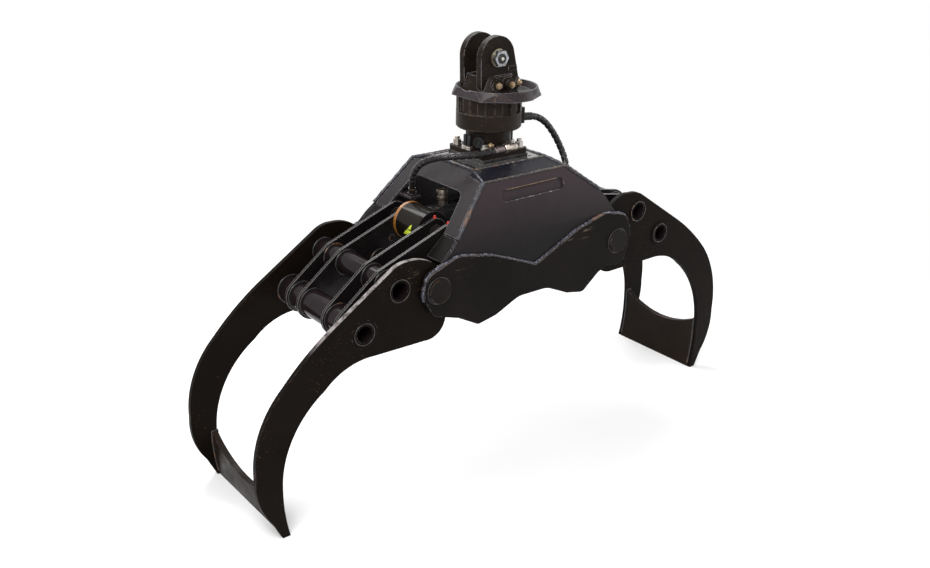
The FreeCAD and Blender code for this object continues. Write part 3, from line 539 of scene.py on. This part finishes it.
def bare_metal(name, bright, dull, roughness, dust=0.3, scratches=1.0):
    """Plated or turned metal with dull patches, dust and fine scratches."""
    material, build, surface = new_material(name, metallic=1.0)
    place = build.place()
    patch = build.stretch(build.noise(place, scale=45.0, detail=5.0, roughness=0.7), 0.35, 0.7)
    dusty = build.use(GRIME, Amount=dust, Scale=40.0)
    build.join(build.mix(dusty, build.mix(patch, bright, dull), DUST), surface["Base Color"])
    rough = build.plus(build.times(patch, 0.18), roughness)
    build.join(build.plus(rough, build.times(dusty, 0.35), clamp=True), surface["Roughness"])
    scratch = build.times(build.noise(place, scale=600.0, detail=3.0), scratches)
    finish_normal(build, surface, scratch, 0.25, distance=0.0004, round_edge=0.0008)
    return material


def hose_rubber(name, colour, roughness):
    """Rubber with a fine woven cover, scuffed."""
    material, build, surface = new_material(name, specular=0.4)
    place = build.place()
    scuff = build.stretch(build.noise(place, scale=70.0, detail=5.0, roughness=0.7), 0.55, 0.75)
    build.join(build.mix(build.times(scuff, 0.4), colour, SCUFF_GREY), surface["Base Color"])
    build.join(build.plus(build.times(scuff, 0.25), roughness), surface["Roughness"])
    weave = build.add("ShaderNodeTexVoronoi")
    weave.inputs["Scale"].default_value = 520.0
    build.join(place, weave.inputs["Vector"])
    finish_normal(build, surface, weave.outputs["Distance"], 0.3, distance=0.0006,
                  round_edge=0.0005)
    return material


def moulded_plastic(name, colour, fade_and_sheen, roughness, specular=0.5, dust=0.35):
    """Plastic with faded patches and dust; on the spiral guard the pale patches are also painted
    highlight flecks.
    """
    material, build, surface = new_material(name, specular=specular)
    place = build.place()
    fade = build.stretch(build.noise(place, scale=90.0, detail=3.0), 0.4, 0.7)
    dusty = build.use(GRIME, Amount=dust, Scale=60.0)
    colour = build.mix(build.times(dusty, 0.6), build.mix(fade, colour, fade_and_sheen), DUST)
    build.join(colour, surface["Base Color"])
    build.join(build.plus(build.times(fade, 0.15), roughness), surface["Roughness"])
    finish_normal(build, surface, build.noise(place, scale=700.0), 0.15, distance=0.0003,
                  round_edge=0.0006)
    return material


def weld_metal(name, colour, bright, rust):
    """Painted weld: bright in noise spots, which are painted glints on the frame's welds and flecks
    on the others, and rusty in its toes.
    """
    material, build, surface = new_material(name)
    place = build.place()
    glints_and_flecks = build.stretch(build.noise(place, scale=130.0, detail=4.0, roughness=0.7), 0.50, 0.64)
    spots = build.stretch(build.noise(place, scale=22.0, detail=5.0, roughness=0.6), 0.56, 0.68)
    colour = build.mix(build.times(glints_and_flecks, 0.6), colour, bright)
    colour = build.mix(build.times(spots, rust), colour, RUST)
    build.join(colour, surface["Base Color"])
    build.join(build.stretch(glints_and_flecks, 0.0, 1.0, 0.42, 0.25, kind="LINEAR"), surface["Roughness"])
    finish_normal(build, surface, build.noise(place, scale=300.0, detail=4.0), 0.5,
                  round_edge=0.0006)
    return material


# Each material slot's usual look
MATERIALS = {
    # Side plates: lighter towards the top as a painted sheen, and their rubbed edges' colour also
    # paints edge highlights
    "frame_paint": painted_steel(
        "satin_frame_paint", BLACK_BROWN, BLACK_BLUE, 0.36, edge_amount=0.62, dust=0.18, rust=0.35,
        worn_and_lit=(0.15, 0.145, 0.165), specular=0.10, fade_and_sheen=LIT_TOP_BROWN, specks=0.15),
    "jaw_paint": painted_steel(
        "satin_jaw_paint", JAW_BLACK, JAW_BROWN, 0.42, edge_amount=0.45, dust=0.20, rust=0.42,
        worn_and_lit=(0.05, 0.042, 0.038), specular=0.035, dust_colour=BROWN_DUST, specks=0.45),
    "rotator_paint": painted_steel(
        "cast_rotator_paint", (0.0066, 0.0044, 0.0032), (0.0135, 0.0090, 0.0064), 0.40, edge_amount=0.7,
        dust=0.45, rust=0.5, peel=2.5, specular=0.10, dust_colour=(0.060, 0.043, 0.032),
        worn_and_lit=(0.125, 0.115, 0.110), specks=0.5),
    "cylinder_paint": painted_steel(
        "gloss_cylinder_paint", GLOSS_BLACK, (0.012, 0.011, 0.011), 0.16, edge_amount=0.4, dust=0.25,
        rust=0.3, coat=0.6, waves=0.4),
    "pin_steel": painted_steel(
        "painted_pin_steel", (0.0055, 0.0045, 0.0040), (0.010, 0.008, 0.007), 0.5, edge_amount=0.6,
        dust=0.35, rust=0.6, specular=0.07, dust_colour=BROWN_DUST, specks=0.4),
    "zinc": bare_metal("dull_zinc", (0.60, 0.58, 0.55), (0.30, 0.26, 0.22), 0.32),
    "rod_chrome": bare_metal("hard_chrome", (0.78, 0.78, 0.79), (0.62, 0.62, 0.63), 0.08,
                             dust=0.12, scratches=0.3),
    "brass": bare_metal("dull_brass", (0.42, 0.31, 0.19), (0.20, 0.14, 0.09), 0.38),
    "hose_rubber": hose_rubber("hose_rubber", (0.007, 0.0062, 0.006), 0.34),
    "red_cap": moulded_plastic("red_cap_plastic", (0.32, 0.016, 0.009), (0.36, 0.035, 0.020), 0.4,
                               specular=0.25),
}

# Looks of single pieces
# Near left jaw plate: its top faces and edges are lightened by dust and by a painted sheen
DUSTY_SHEENED_JAW_PAINT = painted_steel(
    "dusty_sheened_jaw_paint", JAW_BLACK, JAW_BROWN, 0.42, edge_amount=0.55, dust=0.22, rust=0.42,
    worn_and_lit=(0.06, 0.052, 0.048), specular=0.035, dust_colour=BROWN_DUST, specks=0.6, scrapes=0.55,
    top_dust_and_shading=(0.24, 0.215, 0.215))
# Its upward faces take dust and a painted sheen
DOUBLER_PAINT = painted_steel(
    "scraped_doubler_paint", (0.0050, 0.0038, 0.0035), (0.0078, 0.0060, 0.0056), 0.38, edge_amount=0.6,
    dust=0.18, rust=0.35, specular=0.045, specks=0.4, scrapes=0.5, top_dust_and_shading=(0.13, 0.105, 0.085))
# Bluish rubbed edges: wear, and a painted highlight along the tip plates' top edges
TIP_PAINT = painted_steel(
    "worn_and_lit_tip_paint", (0.0085, 0.0052, 0.0036), (0.014, 0.0090, 0.0062), 0.34, edge_amount=0.7, dust=0.2,
    rust=0.6, worn_and_lit=(0.10, 0.095, 0.13), specular=0.06, dust_colour=BROWN_DUST, specks=0.5)
# Bright rubbed edges: wear, and a painted highlight along the lugs' edges
LUG_PAINT = painted_steel(
    "glossy_lug_paint", (0.005, 0.004, 0.0042), (0.009, 0.007, 0.0072), 0.26, edge_amount=0.95,
    edge_radius=0.0035, dust=0.30, rust=0.3, worn_and_lit=(0.23, 0.215, 0.21), specular=0.16,
    dust_colour=BROWN_DUST, specks=0.4, breakup=26.0)
TUBE_PAINT = painted_steel(
    "glossy_tube_paint", (0.0058, 0.0036, 0.0040), (0.012, 0.0078, 0.0086), 0.15, dust=0.22,
    rust=0.35, specular=0.04, coat=0.2, dust_colour=BROWN_DUST, end_face=JAW_BLACK, specks=0.4)
# Painted sheen: a lighter copy of the frame's paint for the lit deck, over a real clear coat
LIT_DECK_PAINT = painted_steel(
    "polished_lit_deck_paint", (0.012, 0.010, 0.010), (0.018, 0.016, 0.015), 0.20, edge_amount=0.6, dust=0.22,
    rust=0.3, specular=0.5, coat=1.0, coat_roughness=0.07, waves=0.3, specks=0.4)
# Painted shade: a bluer copy of the frame's paint without its lighter top, for the shaded shoulders
SHADED_SHOULDER_PAINT = painted_steel(
    "shaded_shoulder_paint", (0.0065, 0.0065, 0.0095), (0.010, 0.010, 0.015), 0.26, edge_amount=0.6,
    dust=0.12, rust=0.3, specular=0.12)
# Painted reflection: a lighter copy of the frame's paint where the end plates catch the light, with
# a painted sheen lighter still towards the top
LIT_END_PAINT = painted_steel(
    "pale_lit_end_paint", (0.0095, 0.0080, 0.0085), (0.015, 0.0125, 0.0135), 0.28, edge_amount=0.7, dust=0.2,
    specular=0.14, worn_and_lit=(0.30, 0.30, 0.32), coat=0.08, fade_and_sheen=(0.026, 0.0225, 0.0235))
STRIP_PAINT = painted_steel(
    "shaded_strip_paint", (0.005, 0.0045, 0.0045), (0.008, 0.007, 0.0065), 0.42, edge_amount=0.7,
    rust=0.5, specular=0.05)
# Pale rubbed edges: wear, and a painted highlight along the rotator head's edges
HEAD_PAINT = painted_steel(
    "cast_head_paint", (0.0065, 0.0045, 0.0034), (0.0135, 0.0095, 0.0072), 0.42, edge_amount=0.72,
    dust=0.38, rust=0.5, worn_and_lit=(0.24, 0.235, 0.25), peel=2.5, specular=0.06,
    dust_colour=(0.055, 0.042, 0.033), specks=0.8, breakup=34.0)
COLLAR_PAINT = painted_steel(
    "dusty_collar_paint", (0.0110, 0.0084, 0.0090), (0.034, 0.0265, 0.0290), 0.32, edge_amount=0.8,
    rust=0.4, worn_and_lit=(0.22, 0.21, 0.23), peel=2.0, specular=0.14, dust_colour=(0.12, 0.095, 0.075),
    specks=1.0, top_dust_and_shading=(0.009, 0.0068, 0.0052))
EYE_PAINT = painted_steel(
    "oily_eye_paint", (0.0032, 0.0026, 0.0026), (0.0075, 0.0056, 0.0040), 0.34, edge_amount=0.6,
    dust=0.25, rust=0.5, specular=0.03, coat=0.22, coat_roughness=0.05,
    dust_colour=(0.05, 0.036, 0.022), end_face=GLOSS_BLACK, specks=0.5)
FITTING_BLACK = painted_steel(
    "blackened_fitting", (0.006, 0.0055, 0.0055), (0.012, 0.011, 0.011), 0.35, rust=0.4,
    specular=0.3)
# Bright colour of these two welds: painted blue-white glints
WELD = weld_metal("painted_weld", (0.010, 0.009, 0.014), (0.27, 0.28, 0.38), 0.6)
CORNER_WELD = weld_metal("dark_corner_weld", (0.009, 0.008, 0.012), (0.10, 0.105, 0.145), 0.5)
RIDGE_WELD = weld_metal("dusty_ridge_weld", (0.020, 0.017, 0.017), (0.26, 0.215, 0.165), 0.5)
JAW_WELD = weld_metal("painted_jaw_weld", (0.007, 0.006, 0.006), (0.050, 0.046, 0.050), 0.5)
BORE_WELD = weld_metal("rusty_bore_weld", (0.0070, 0.0055, 0.0048), (0.085, 0.060, 0.044), 0.9)
EDGE_RUST = weld_metal("rusty_slot_edge", (0.09, 0.05, 0.024), (0.30, 0.20, 0.12), 0.8)
# Bright grey: painted glints up the slot's right end, and flecks along its lower lip
EDGE_GREY = weld_metal("flecked_slot_edge", (0.018, 0.016, 0.018), (0.42, 0.40, 0.43), 0.3)
RUST_RING = weld_metal("rusty_seal", (0.20, 0.078, 0.010), (0.34, 0.15, 0.022), 0.5)
# Its pale patches are partly painted highlight flecks on the guard
GUARD_PLASTIC = moulded_plastic("spiral_guard_plastic", (0.0070, 0.0056, 0.0058),
                                (0.016, 0.0124, 0.0126), 0.27, specular=0.3, dust=0.15)
TAG_YELLOW = moulded_plastic("yellow_tag", (0.62, 0.72, 0.03), (0.45, 0.55, 0.04), 0.35)
FERRULE_STEEL = bare_metal("dusty_ferrule", (0.19, 0.155, 0.155), (0.07, 0.052, 0.052), 0.34,
                           dust=0.4)
NUT_TAN = bare_metal("tan_plated_nut", (0.52, 0.46, 0.41), (0.24, 0.195, 0.165), 0.36)
PORT_STEEL = bare_metal("oily_port_steel", (0.22, 0.185, 0.16), (0.065, 0.05, 0.04), 0.42,
                        dust=0.6)
WASHER_STEEL = bare_metal("khaki_washer", (0.36, 0.32, 0.24), (0.16, 0.13, 0.085), 0.42, dust=0.4)
NUT_STEEL = bare_metal("dark_zinc_nut", (0.42, 0.44, 0.47), (0.12, 0.115, 0.11), 0.26, dust=0.4)
SPECIAL_PAINTS = {
    "left_jaw_plate_near": DUSTY_SHEENED_JAW_PAINT,
    "left_jaw_tip_plate": TIP_PAINT, "right_jaw_tip_plate": TIP_PAINT,
    "left_lugs": LUG_PAINT, "right_lugs": LUG_PAINT,
    "left_upper_tube": TUBE_PAINT, "left_lower_tube": TUBE_PAINT,
    "right_upper_tube": TUBE_PAINT, "right_lower_tube": TUBE_PAINT,
    "ear_doubler_near": DOUBLER_PAINT, "ear_doubler_far": DOUBLER_PAINT,
    "top_plate": LIT_DECK_PAINT, "shoulders": SHADED_SHOULDER_PAINT,
    "left_end_plate": LIT_END_PAINT, "right_end_plate": LIT_END_PAINT, "leg_strips": STRIP_PAINT,
    "left_bulkhead_fitting": FITTING_BLACK, "right_bulkhead_fitting": FITTING_BLACK,
    "right_hose_nipple": FITTING_BLACK, "left_hose_elbow": NUT_TAN,
    "rotator_head": HEAD_PAINT, "guard_collar": COLLAR_PAINT,
    "cylinder_base_eye": EYE_PAINT, "cylinder_ports": PORT_STEEL,
    "crane_washer": WASHER_STEEL, "crane_nut": NUT_STEEL, "crane_bolt": FITTING_BLACK,
}


def paint_nodes():
    """Gives each CAD node its own look, or else its slot's."""
    for name, obj in nodes.items():
        obj.data.materials.clear()
        obj.data.materials.append(SPECIAL_PAINTS.get(name, MATERIALS[slot_of[name]]))


def add_piece(name, bm, body, material):
    """Makes a piece from a finished bmesh, its place in its mesh, riding on a body."""
    bmesh.ops.remove_doubles(bm, verts=bm.verts, dist=MERGE_DISTANCE)
    bmesh.ops.recalc_face_normals(bm, faces=bm.faces)
    mesh = bpy.data.meshes.new(name)
    bm.to_mesh(mesh)
    bm.free()
    mesh.shade_smooth()
    mesh.set_sharp_from_angle(angle=SMOOTH_BELOW)
    mesh.materials.append(material)
    obj = new_object(name, mesh)
    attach(obj, body)
    return obj


def turned(name, profile, places, body, material, steps=32):
    """One turned part at each of the places (point, axis).

    The profile of (radius, height) spins round the axis, and a radius of 0 closes it there.
    """
    bm = bmesh.new()
    for place, axis in places:
        before = set(bm.verts)
        verts = [bm.verts.new((radius, 0, height)) for radius, height in profile]
        edges = [bm.edges.new(pair) for pair in zip(verts, verts[1:])]
        bmesh.ops.spin(bm, geom=verts + edges, cent=(0, 0, 0), axis=(0, 0, 1), angle=2 * math.pi,
                       steps=steps, use_merge=True)
        made = [v for v in bm.verts if v not in before]
        turn = Vector(axis).to_track_quat("Z", "Y").to_matrix().to_4x4()
        bmesh.ops.transform(bm, matrix=Matrix.Translation(Vector(place)) @ turn, verts=made)
    return add_piece(name, bm, body, material)


def even_points(path, step):
    """The path's points spaced evenly, ends kept."""
    lengths = [0.0]
    for a, b in zip(path, path[1:]):
        lengths.append(lengths[-1] + (b - a).length)
    count = max(2, round(lengths[-1] / step))
    points = []
    leg = 0
    for i in range(count + 1):
        target = lengths[-1] * i / count
        while leg < len(path) - 2 and lengths[leg + 1] < target:
            leg += 1
        span = lengths[leg + 1] - lengths[leg]
        points.append(path[leg].lerp(path[leg + 1], (target - lengths[leg]) / span))
    return points


def bead_swell(i, x):
    """Slow uneven growth along a bead, as a hand leaves it."""
    return 0.08 * math.sin(i * 0.37 + x * 60) + 0.05 * math.sin(i * 0.113)


def weld_beads(name, paths, width, body, material):
    """Rippled welds along paths, all in one curve: each ripple is a swell in the bead."""
    curve = bpy.data.curves.new(name, "CURVE")
    curve.dimensions = "3D"
    curve.bevel_depth = width / 2
    curve.bevel_resolution = 1
    curve.use_fill_caps = True
    for path, closed in paths:
        places = even_points([Vector(p) for p in path], RIPPLE / 2)
        if closed:
            places.pop()
        spline = curve.splines.new("POLY")
        spline.points.add(len(places) - 1)
        spline.use_cyclic_u = closed
        spline.use_smooth = True
        for i, place in enumerate(places):
            spline.points[i].co = (*place, 1)
            spline.points[i].radius = (1.0 if i % 2 else RIPPLE_DIP) + bead_swell(i, place.x)
    curve.materials.append(material)
    obj = new_object(name, curve)
    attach(obj, body)


def circle(radius, count):
    """Points (u, v) round a circle, the first one not repeated."""
    return [(radius * math.cos(2 * math.pi * i / count), radius * math.sin(2 * math.pi * i / count))
            for i in range(count)]


def ring_path(x, y, z, radius):
    """A circle in a plane square to Y, closed on its first point, as a closed path."""
    ring = [(x + u, y, z + v) for u, v in circle(radius, RING_POINTS)]
    return ring + ring[:1], True


def outline_on_plane(node, level, lowest):
    """Chains of points of a node's outline on the plane y = level, above the lowest height."""
    bm = bmesh.new()
    bm.from_mesh(nodes[node].data)
    bmesh.ops.remove_doubles(bm, verts=bm.verts, dist=CAD_MERGE_DISTANCE)
    near = {}
    for edge in bm.edges:
        on_plane = all(abs(v.co.y - level) < PLANE_DISTANCE and v.co.z > lowest
                       for v in edge.verts)
        if on_plane and edge.calc_face_angle(0) > EDGE_ANGLE:
            a, b = edge.verts
            near.setdefault(a, []).append(b)
            near.setdefault(b, []).append(a)
    chains = []
    while near:
        start = next((v for v in near if len(near[v]) == 1), next(iter(near)))
        chain = [start]
        while near.get(chain[-1]):
            here = chain[-1]
            following = near[here].pop()
            near[following].remove(here)
            chain.append(following)
        for v in chain:
            if v in near and not near[v]:
                del near[v]
        chains.append([v.co.copy() for v in chain])
    bm.free()
    return [chain for chain in chains if len(chain) > 2]


def frame_welds():
    """Welds round the ear doublers, along the deck's ridges and down the end plates' edges."""
    outlines = []
    for side, node in ((-1, "ear_doubler_near"), (1, "ear_doubler_far")):
        for chain in outline_on_plane(node, side * SIDE_FACE_Y, DOUBLER_WELD_FROM):
            outlines.append(([(p.x, p.y + side * BEAD_SEAT, p.z) for p in chain], False))
    weld_beads("doubler_welds", outlines, DOUBLER_BEAD, "frame", WELD)
    seams = []
    ridges = []
    for side in (-1, 1):
        for end in (LEFT_END, RIGHT_END):
            seams.append(([(x, side * y, z - BEAD_SEAT) for x, y, z in end], False))
        for left, right, level in zip(LEFT_END, RIGHT_END, (DECK_TOP - BEAD_SEAT, SHOULDER_TOP)):
            ridges.append(([(x, side * left[1], level) for x in (left[0], right[0])], False))
    weld_beads("ridge_welds", ridges, RIDGE_BEAD, "frame", RIDGE_WELD)
    for (x, half, top), *_ in (LEFT_END, RIGHT_END):
        seams.append(([(x, y, top - BEAD_SEAT) for y in (-half, half)], False))
    weld_beads("end_plate_welds", seams, CORNER_BEAD, "frame", CORNER_WELD)


def slot_rims():
    """Rusted upper lip, and a flecked grey lower lip that runs up the slot's right end as a painted
    glint, in each leaning side.
    """

    def lip(start, end, first, last):
        return [start.lerp(end, first), start.lerp(end, last)], False

    upper = []
    lower = []
    for side in (1, -1):
        left_top, right_top, right_foot, left_foot = [Vector((x, side * y, z)) for x, y, z in SLOT]
        upper.append(lip(left_top, right_top, SLOT_CORNER, 1 - SLOT_CORNER))
        lower.append(lip(left_foot, right_foot, SLOT_CORNER, 1 - SLOT_CORNER))
        lower.append(lip(right_foot, right_top, *SLOT_END_GLINT))
    weld_beads("slot_upper_rim", upper, SLOT_BEAD, "frame", EDGE_RUST)
    weld_beads("slot_lower_rim", lower, SLOT_BEAD, "frame", EDGE_GREY)


def pin_head_rings():
    """Rust crept out from under the two main pin heads."""
    x, z, _ = PIVOT_TUBE
    rings = [ring_path(hand * x, -DOUBLER_FACE_Y, z, PIN_HEAD_R + BEAD_OFFSET) for hand in (-1, 1)]
    weld_beads("pin_head_rust", rings, PIN_RUST_BEAD, "frame", BORE_WELD)


def jaw_welds():
    """Welds of tubes, lugs and tip plates, and the rusty rings round the tubes' bores."""
    for name, hand, half, _, shift in JAWS:
        inner_face = half - JAW_PLATE
        paths = []
        for side in (-1, 1):
            for (x, z, radius), (out, rise) in zip((UPPER_TUBE, LOWER_TUBE, PIVOT_TUBE),
                                                   (shift, shift, (0, 0))):
                paths += [ring_path(hand * (x + out), side * y, z + rise, radius + BEAD_OFFSET)
                          for y in (inner_face, *LUG_FACES)]
            tip = outline_on_plane(name + "_jaw_tip_plate", side * inner_face, TIP_WELD_FROM)
            paths += [(chain, False) for chain in tip]
        weld_beads(name + "_jaw_welds", paths, JAW_BEAD, name + "_jaw", JAW_WELD)
    for name, hand, _, face, (out, rise) in JAWS:
        rings = [ring_path(hand * (tube[0] + out), side * face, tube[1] + rise, radius)
                 for side in (-1, 1) for tube, radius in zip((UPPER_TUBE, LOWER_TUBE), BORE_RINGS)]
        weld_beads(name + "_bore_rings", rings, BORE_BEAD, name + "_jaw", BORE_WELD)


def hose_curve(name, route, replaced):
    """A hose along its route, and the points of its middle line."""
    curve = bpy.data.curves.new(name, "CURVE")
    curve.dimensions = "3D"
    curve.resolution_u = 12
    spline = curve.splines.new("NURBS")
    spline.points.add(len(route) - 1)
    for point, place in zip(spline.points, route):
        point.co = (*place, 1)
    spline.order_u = 3
    spline.use_endpoint_u = True
    line = new_object(name + "_line", curve)
    bpy.context.view_layer.update()
    mesh = bpy.data.meshes.new_from_object(line)
    points = [v.co.copy() for v in mesh.vertices]
    bpy.data.meshes.remove(mesh)
    bpy.data.objects.remove(line)
    curve.bevel_depth = HOSE_R
    curve.bevel_resolution = 5
    curve.use_fill_caps = True
    curve.materials.append(MATERIALS["hose_rubber"])
    hose = new_object(name, curve)
    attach(hose, "frame")
    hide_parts(replaced)
    return hose, points


def path_length(points):
    """Length along the points."""
    return sum((b - a).length for a, b in zip(points, points[1:]))


def path_frames(points, span, step):
    """Frames every step over a span of the points' length, turned as little as the path allows."""
    along = even_points(points, step)
    frames = []
    side = None
    for i, place in enumerate(along):
        ahead = along[min(i + 1, len(along) - 1)] - along[max(i - 1, 0)]
        ahead.normalize()
        side = ahead.orthogonal() if side is None else side
        side = (side - ahead * side.dot(ahead)).normalized()
        turn = Matrix((side, ahead.cross(side), ahead)).transposed().to_4x4()
        frames.append(Matrix.Translation(place) @ turn)
    each = path_length(along) / (len(along) - 1)
    start, end = span
    return frames[round(start / each):round(end / each) + 1]


def sweep(bm, section, frames):
    """Extrudes a closed section of points (u, v) from frame to frame and closes its ends."""
    verts = [bm.verts.new(frames[0] @ Vector((u, v, 0))) for u, v in section]
    edges = [bm.edges.new((a, b)) for a, b in zip(verts, verts[1:] + verts[:1])]
    bm.faces.new(verts)
    for last, following in zip(frames, frames[1:]):
        made = bmesh.ops.extrude_edge_only(bm, edges=edges)["geom"]
        edges = [g for g in made if isinstance(g, bmesh.types.BMEdge)]
        ring = [g for g in made if isinstance(g, bmesh.types.BMVert)]
        bmesh.ops.transform(bm, matrix=following @ last.inverted(), verts=ring)
    bmesh.ops.contextual_create(bm, geom=edges)


def crimped_ferrule(name, points, span, metal):
    """A hose ferrule with crimp grooves: a round section whose size changes along the hose."""
    frames = path_frames(points, span, FERRULE_STEP)
    sized = []
    for i, matrix in enumerate(frames):
        from_end = min(i, len(frames) - 1 - i)
        radius = FERRULE_R if from_end > 1 else FERRULE_LIP_R
        if from_end > CRIMP_MARGIN and i % CRIMP_EVERY in (0, 1):
            radius = CRIMP_R
        sized.append(matrix @ Matrix.Diagonal((radius, radius, 1, 1)))
    bm = bmesh.new()
    sweep(bm, circle(1.0, count=24), sized)
    return add_piece(name, bm, "frame", metal)


def spiral_guard(name, points, span):
    """A flat plastic strip wound round a hose."""
    frames = path_frames(points, span, GUARD_PITCH / GUARD_STEPS)
    radius = HOSE_R + GUARD_THICK / 2
    wound = []
    for i, matrix in enumerate(frames):
        angle = 2 * math.pi * i / GUARD_STEPS
        out = Vector((math.cos(angle), math.sin(angle), 0))
        tangent = Vector((-out.y, out.x, GUARD_PITCH / (2 * math.pi * radius))).normalized()
        turn = Matrix((out, tangent.cross(out), tangent)).transposed().to_4x4()
        wound.append(matrix @ Matrix.Translation(out * radius) @ turn)
    half_u, half_v = GUARD_THICK / 2, GUARD_WIDTH / 2
    bm = bmesh.new()
    sweep(bm, [(-half_u, -half_v), (half_u, -half_v * GUARD_EDGE), (half_u, half_v * GUARD_EDGE),
               (-half_u, half_v)], wound)
    return add_piece(name, bm, "frame", GUARD_PLASTIC)


def make_hoses():
    """Both hoses with their ferrules, nut and spiral guards."""
    left, left_points = hose_curve("left_hose_line", LEFT_HOSE, "left_hose")
    right, right_points = hose_curve("right_hose_line", RIGHT_HOSE, "right_hose")
    left_ferrule = crimped_ferrule("left_hose_ferrule", left_points, LEFT_FERRULE, FERRULE_STEEL)
    right_ferrule = crimped_ferrule("right_hose_ferrule", right_points, RIGHT_FERRULE,
                                    FITTING_BLACK)
    left_nut = turned("left_hose_nut", HOSE_NUT, [(left_points[0], (-1, 0, 0))], "frame",
                      NUT_TAN, steps=HEX)
    left_guard = spiral_guard("left_hose_guard", left_points, LEFT_GUARD)
    right_guard = spiral_guard("right_hose_guard", right_points, RIGHT_GUARD)


def grease_caps():
    """Soft red caps over the grease nipples, each a turned dome with a rim."""
    for name in ("left", "right"):
        low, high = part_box(name + "_grease_caps")
        x = (low.x + high.x) / 2
        places = [((x, y, low.z - CAP_SEAT), (0, 0, 1)) for y in CAP_ROW]
        caps = turned(name + "_red_caps", CAP, places, name + "_jaw",
                      MATERIALS["red_cap"], steps=20)
        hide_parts(name + "_grease_caps")


def eye_tag():
    """The blank yellow tag round the cylinder's base eye, wider lower down, and a rusty band."""
    low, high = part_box("cylinder_base_eye")
    centre_x, centre_z = (low.x + high.x) / 2, (low.z + high.z) / 2
    radius = (high.z - low.z) / 2 + TAG_LIFT
    bm = bmesh.new()
    bmesh.ops.create_grid(bm, x_segments=14, y_segments=2, size=0.5)
    for vert in bm.verts:
        down = vert.co.x + 0.5
        angle = math.radians(TAG_TURN[0] + TAG_TURN[1] * down)
        y = TAG_Y[0] + TAG_Y[1] * down + TAG_WIDTH * down * vert.co.y
        vert.co = Vector((centre_x + radius * math.cos(angle), y,
                          centre_z + radius * math.sin(angle)))
    bmesh.ops.solidify(bm, geom=bm.faces, thickness=TAG_THICK)
    add_piece("cylinder_tag", bm, "cylinder", TAG_YELLOW)
    turned("eye_seal_ring", SEAL_RING, [((centre_x, SEAL_Y, centre_z), (0, 1, 0))], "cylinder",
           RUST_RING, steps=64)


def crane_stud_end():
    """The threaded end of the crane bolt, dark with a bright centre, standing out of its nut."""
    low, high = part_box("crane_bolt")
    end = [(((low.x + high.x) / 2, low.y - STUD_GAP, (low.z + high.z) / 2), (0, -1, 0))]
    turned("crane_stud_rim", STUD_RIM, end, "rotator_head", FITTING_BLACK)
    turned("crane_stud_centre", STUD_CENTRE, end, "rotator_head", MATERIALS["zinc"])


def base_port_sleeve():
    """The fat swivel over the cylinder's base port, oily and brown."""
    low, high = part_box("cylinder_ports")
    place = (low.x + SLEEVE_IN, 0, high.z - SLEEVE_DROP)
    turned("base_port_sleeve", SLEEVE, [(place, (0, 0, 1))], "cylinder", PORT_STEEL)


def round_neck(radius, degrees, height):
    """A point at a radius and angle round the rotator's axis."""
    turn = math.radians(degrees)
    return Vector((radius * math.cos(turn), radius * math.sin(turn), height))


def neck_fittings():
    """A blanked port in the rotator's neck, and a greased valve and studs on the flange by it."""
    port = [(round_neck(NECK_R, NECK_PORT_TURN, NECK_PORT_Z), round_neck(1, NECK_PORT_TURN, 0))]
    turned("neck_port_plug", PORT_PLUG, port, "frame", FITTING_BLACK, steps=40)
    valve = [(round_neck(*VALVE_PLACE, FLANGE_TOP), (0, 0, 1))]
    turned("neck_valve", VALVE, valve, "frame", MATERIALS["brass"], steps=24)
    studs = [(round_neck(STUD_RING_R, turn, FLANGE_TOP), (0, 0, 1)) for turn in STUD_TURNS]
    turned("neck_stud_nuts", STUD_NUT, studs, "frame", MATERIALS["zinc"], steps=HEX)
    turned("neck_studs", STUD, studs, "frame", FITTING_BLACK, steps=20)


def backdrop_rays(build):
    """1 for the rays that show the backdrop: the camera's, and those in metal and glass."""
    path = build.add("ShaderNodeLightPath").outputs
    seen = build.math("MAXIMUM", path["Is Camera Ray"], path["Is Transmission Ray"])
    return build.math("MAXIMUM", seen, path["Is Glossy Ray"])


def make_stage():
    """A pale floor that keeps the shadow near the grapple and fades to the white backdrop."""
    bm = bmesh.new()
    bmesh.ops.create_grid(bm, x_segments=1, y_segments=1, size=FLOOR_REACH)
    mesh = bpy.data.meshes.new("studio_floor")
    bm.to_mesh(mesh)
    bm.free()
    material, build, surface = new_material("pale_floor", specular=0.1)
    surface["Base Color"].default_value = (FLOOR_GREY, FLOOR_GREY, FLOOR_GREY, 1)
    surface["Roughness"].default_value = 0.9
    reach = build.add("ShaderNodeVectorMath", operation="LENGTH")
    build.join(build.place(), reach.inputs[0])
    far = build.stretch(reach.outputs["Value"], *FLOOR_FADE)
    fade = build.add("ShaderNodeMixShader")
    build.join(build.times(far, backdrop_rays(build)), fade.inputs[0])
    build.join(material.node_tree.nodes["Principled BSDF"].outputs[0], fade.inputs[1])
    build.join(build.add("ShaderNodeEmission").outputs[0], fade.inputs[2])
    build.join(fade.outputs[0], material.node_tree.nodes["Material Output"].inputs["Surface"])
    mesh.materials.append(material)
    floor = new_object("studio_floor", mesh)


def make_world():
    """White behind the grapple, and a softer light from all round."""
    world = bpy.data.worlds.new("studio")
    world.use_nodes = True
    bpy.context.scene.world = world
    build = Tree(world.node_tree)
    back = world.node_tree.nodes["Background"].inputs
    shown = build.times(backdrop_rays(build), 1 - WORLD_LIGHT)
    build.join(build.plus(shown, WORLD_LIGHT), back["Strength"])
    back["Color"].default_value = (1, 1, 1, 1)


set_camera()
make_hoses()
paint_nodes()
frame_welds()
jaw_welds()
grease_caps()
eye_tag()
slot_rims()
pin_head_rings()
crane_stud_end()
base_port_sleeve()
neck_fittings()
make_stage()
make_world()
for lamp in LAMPS:
    soft_lamp(*lamp)

bpy.context.scene.view_settings.view_transform = "Standard"
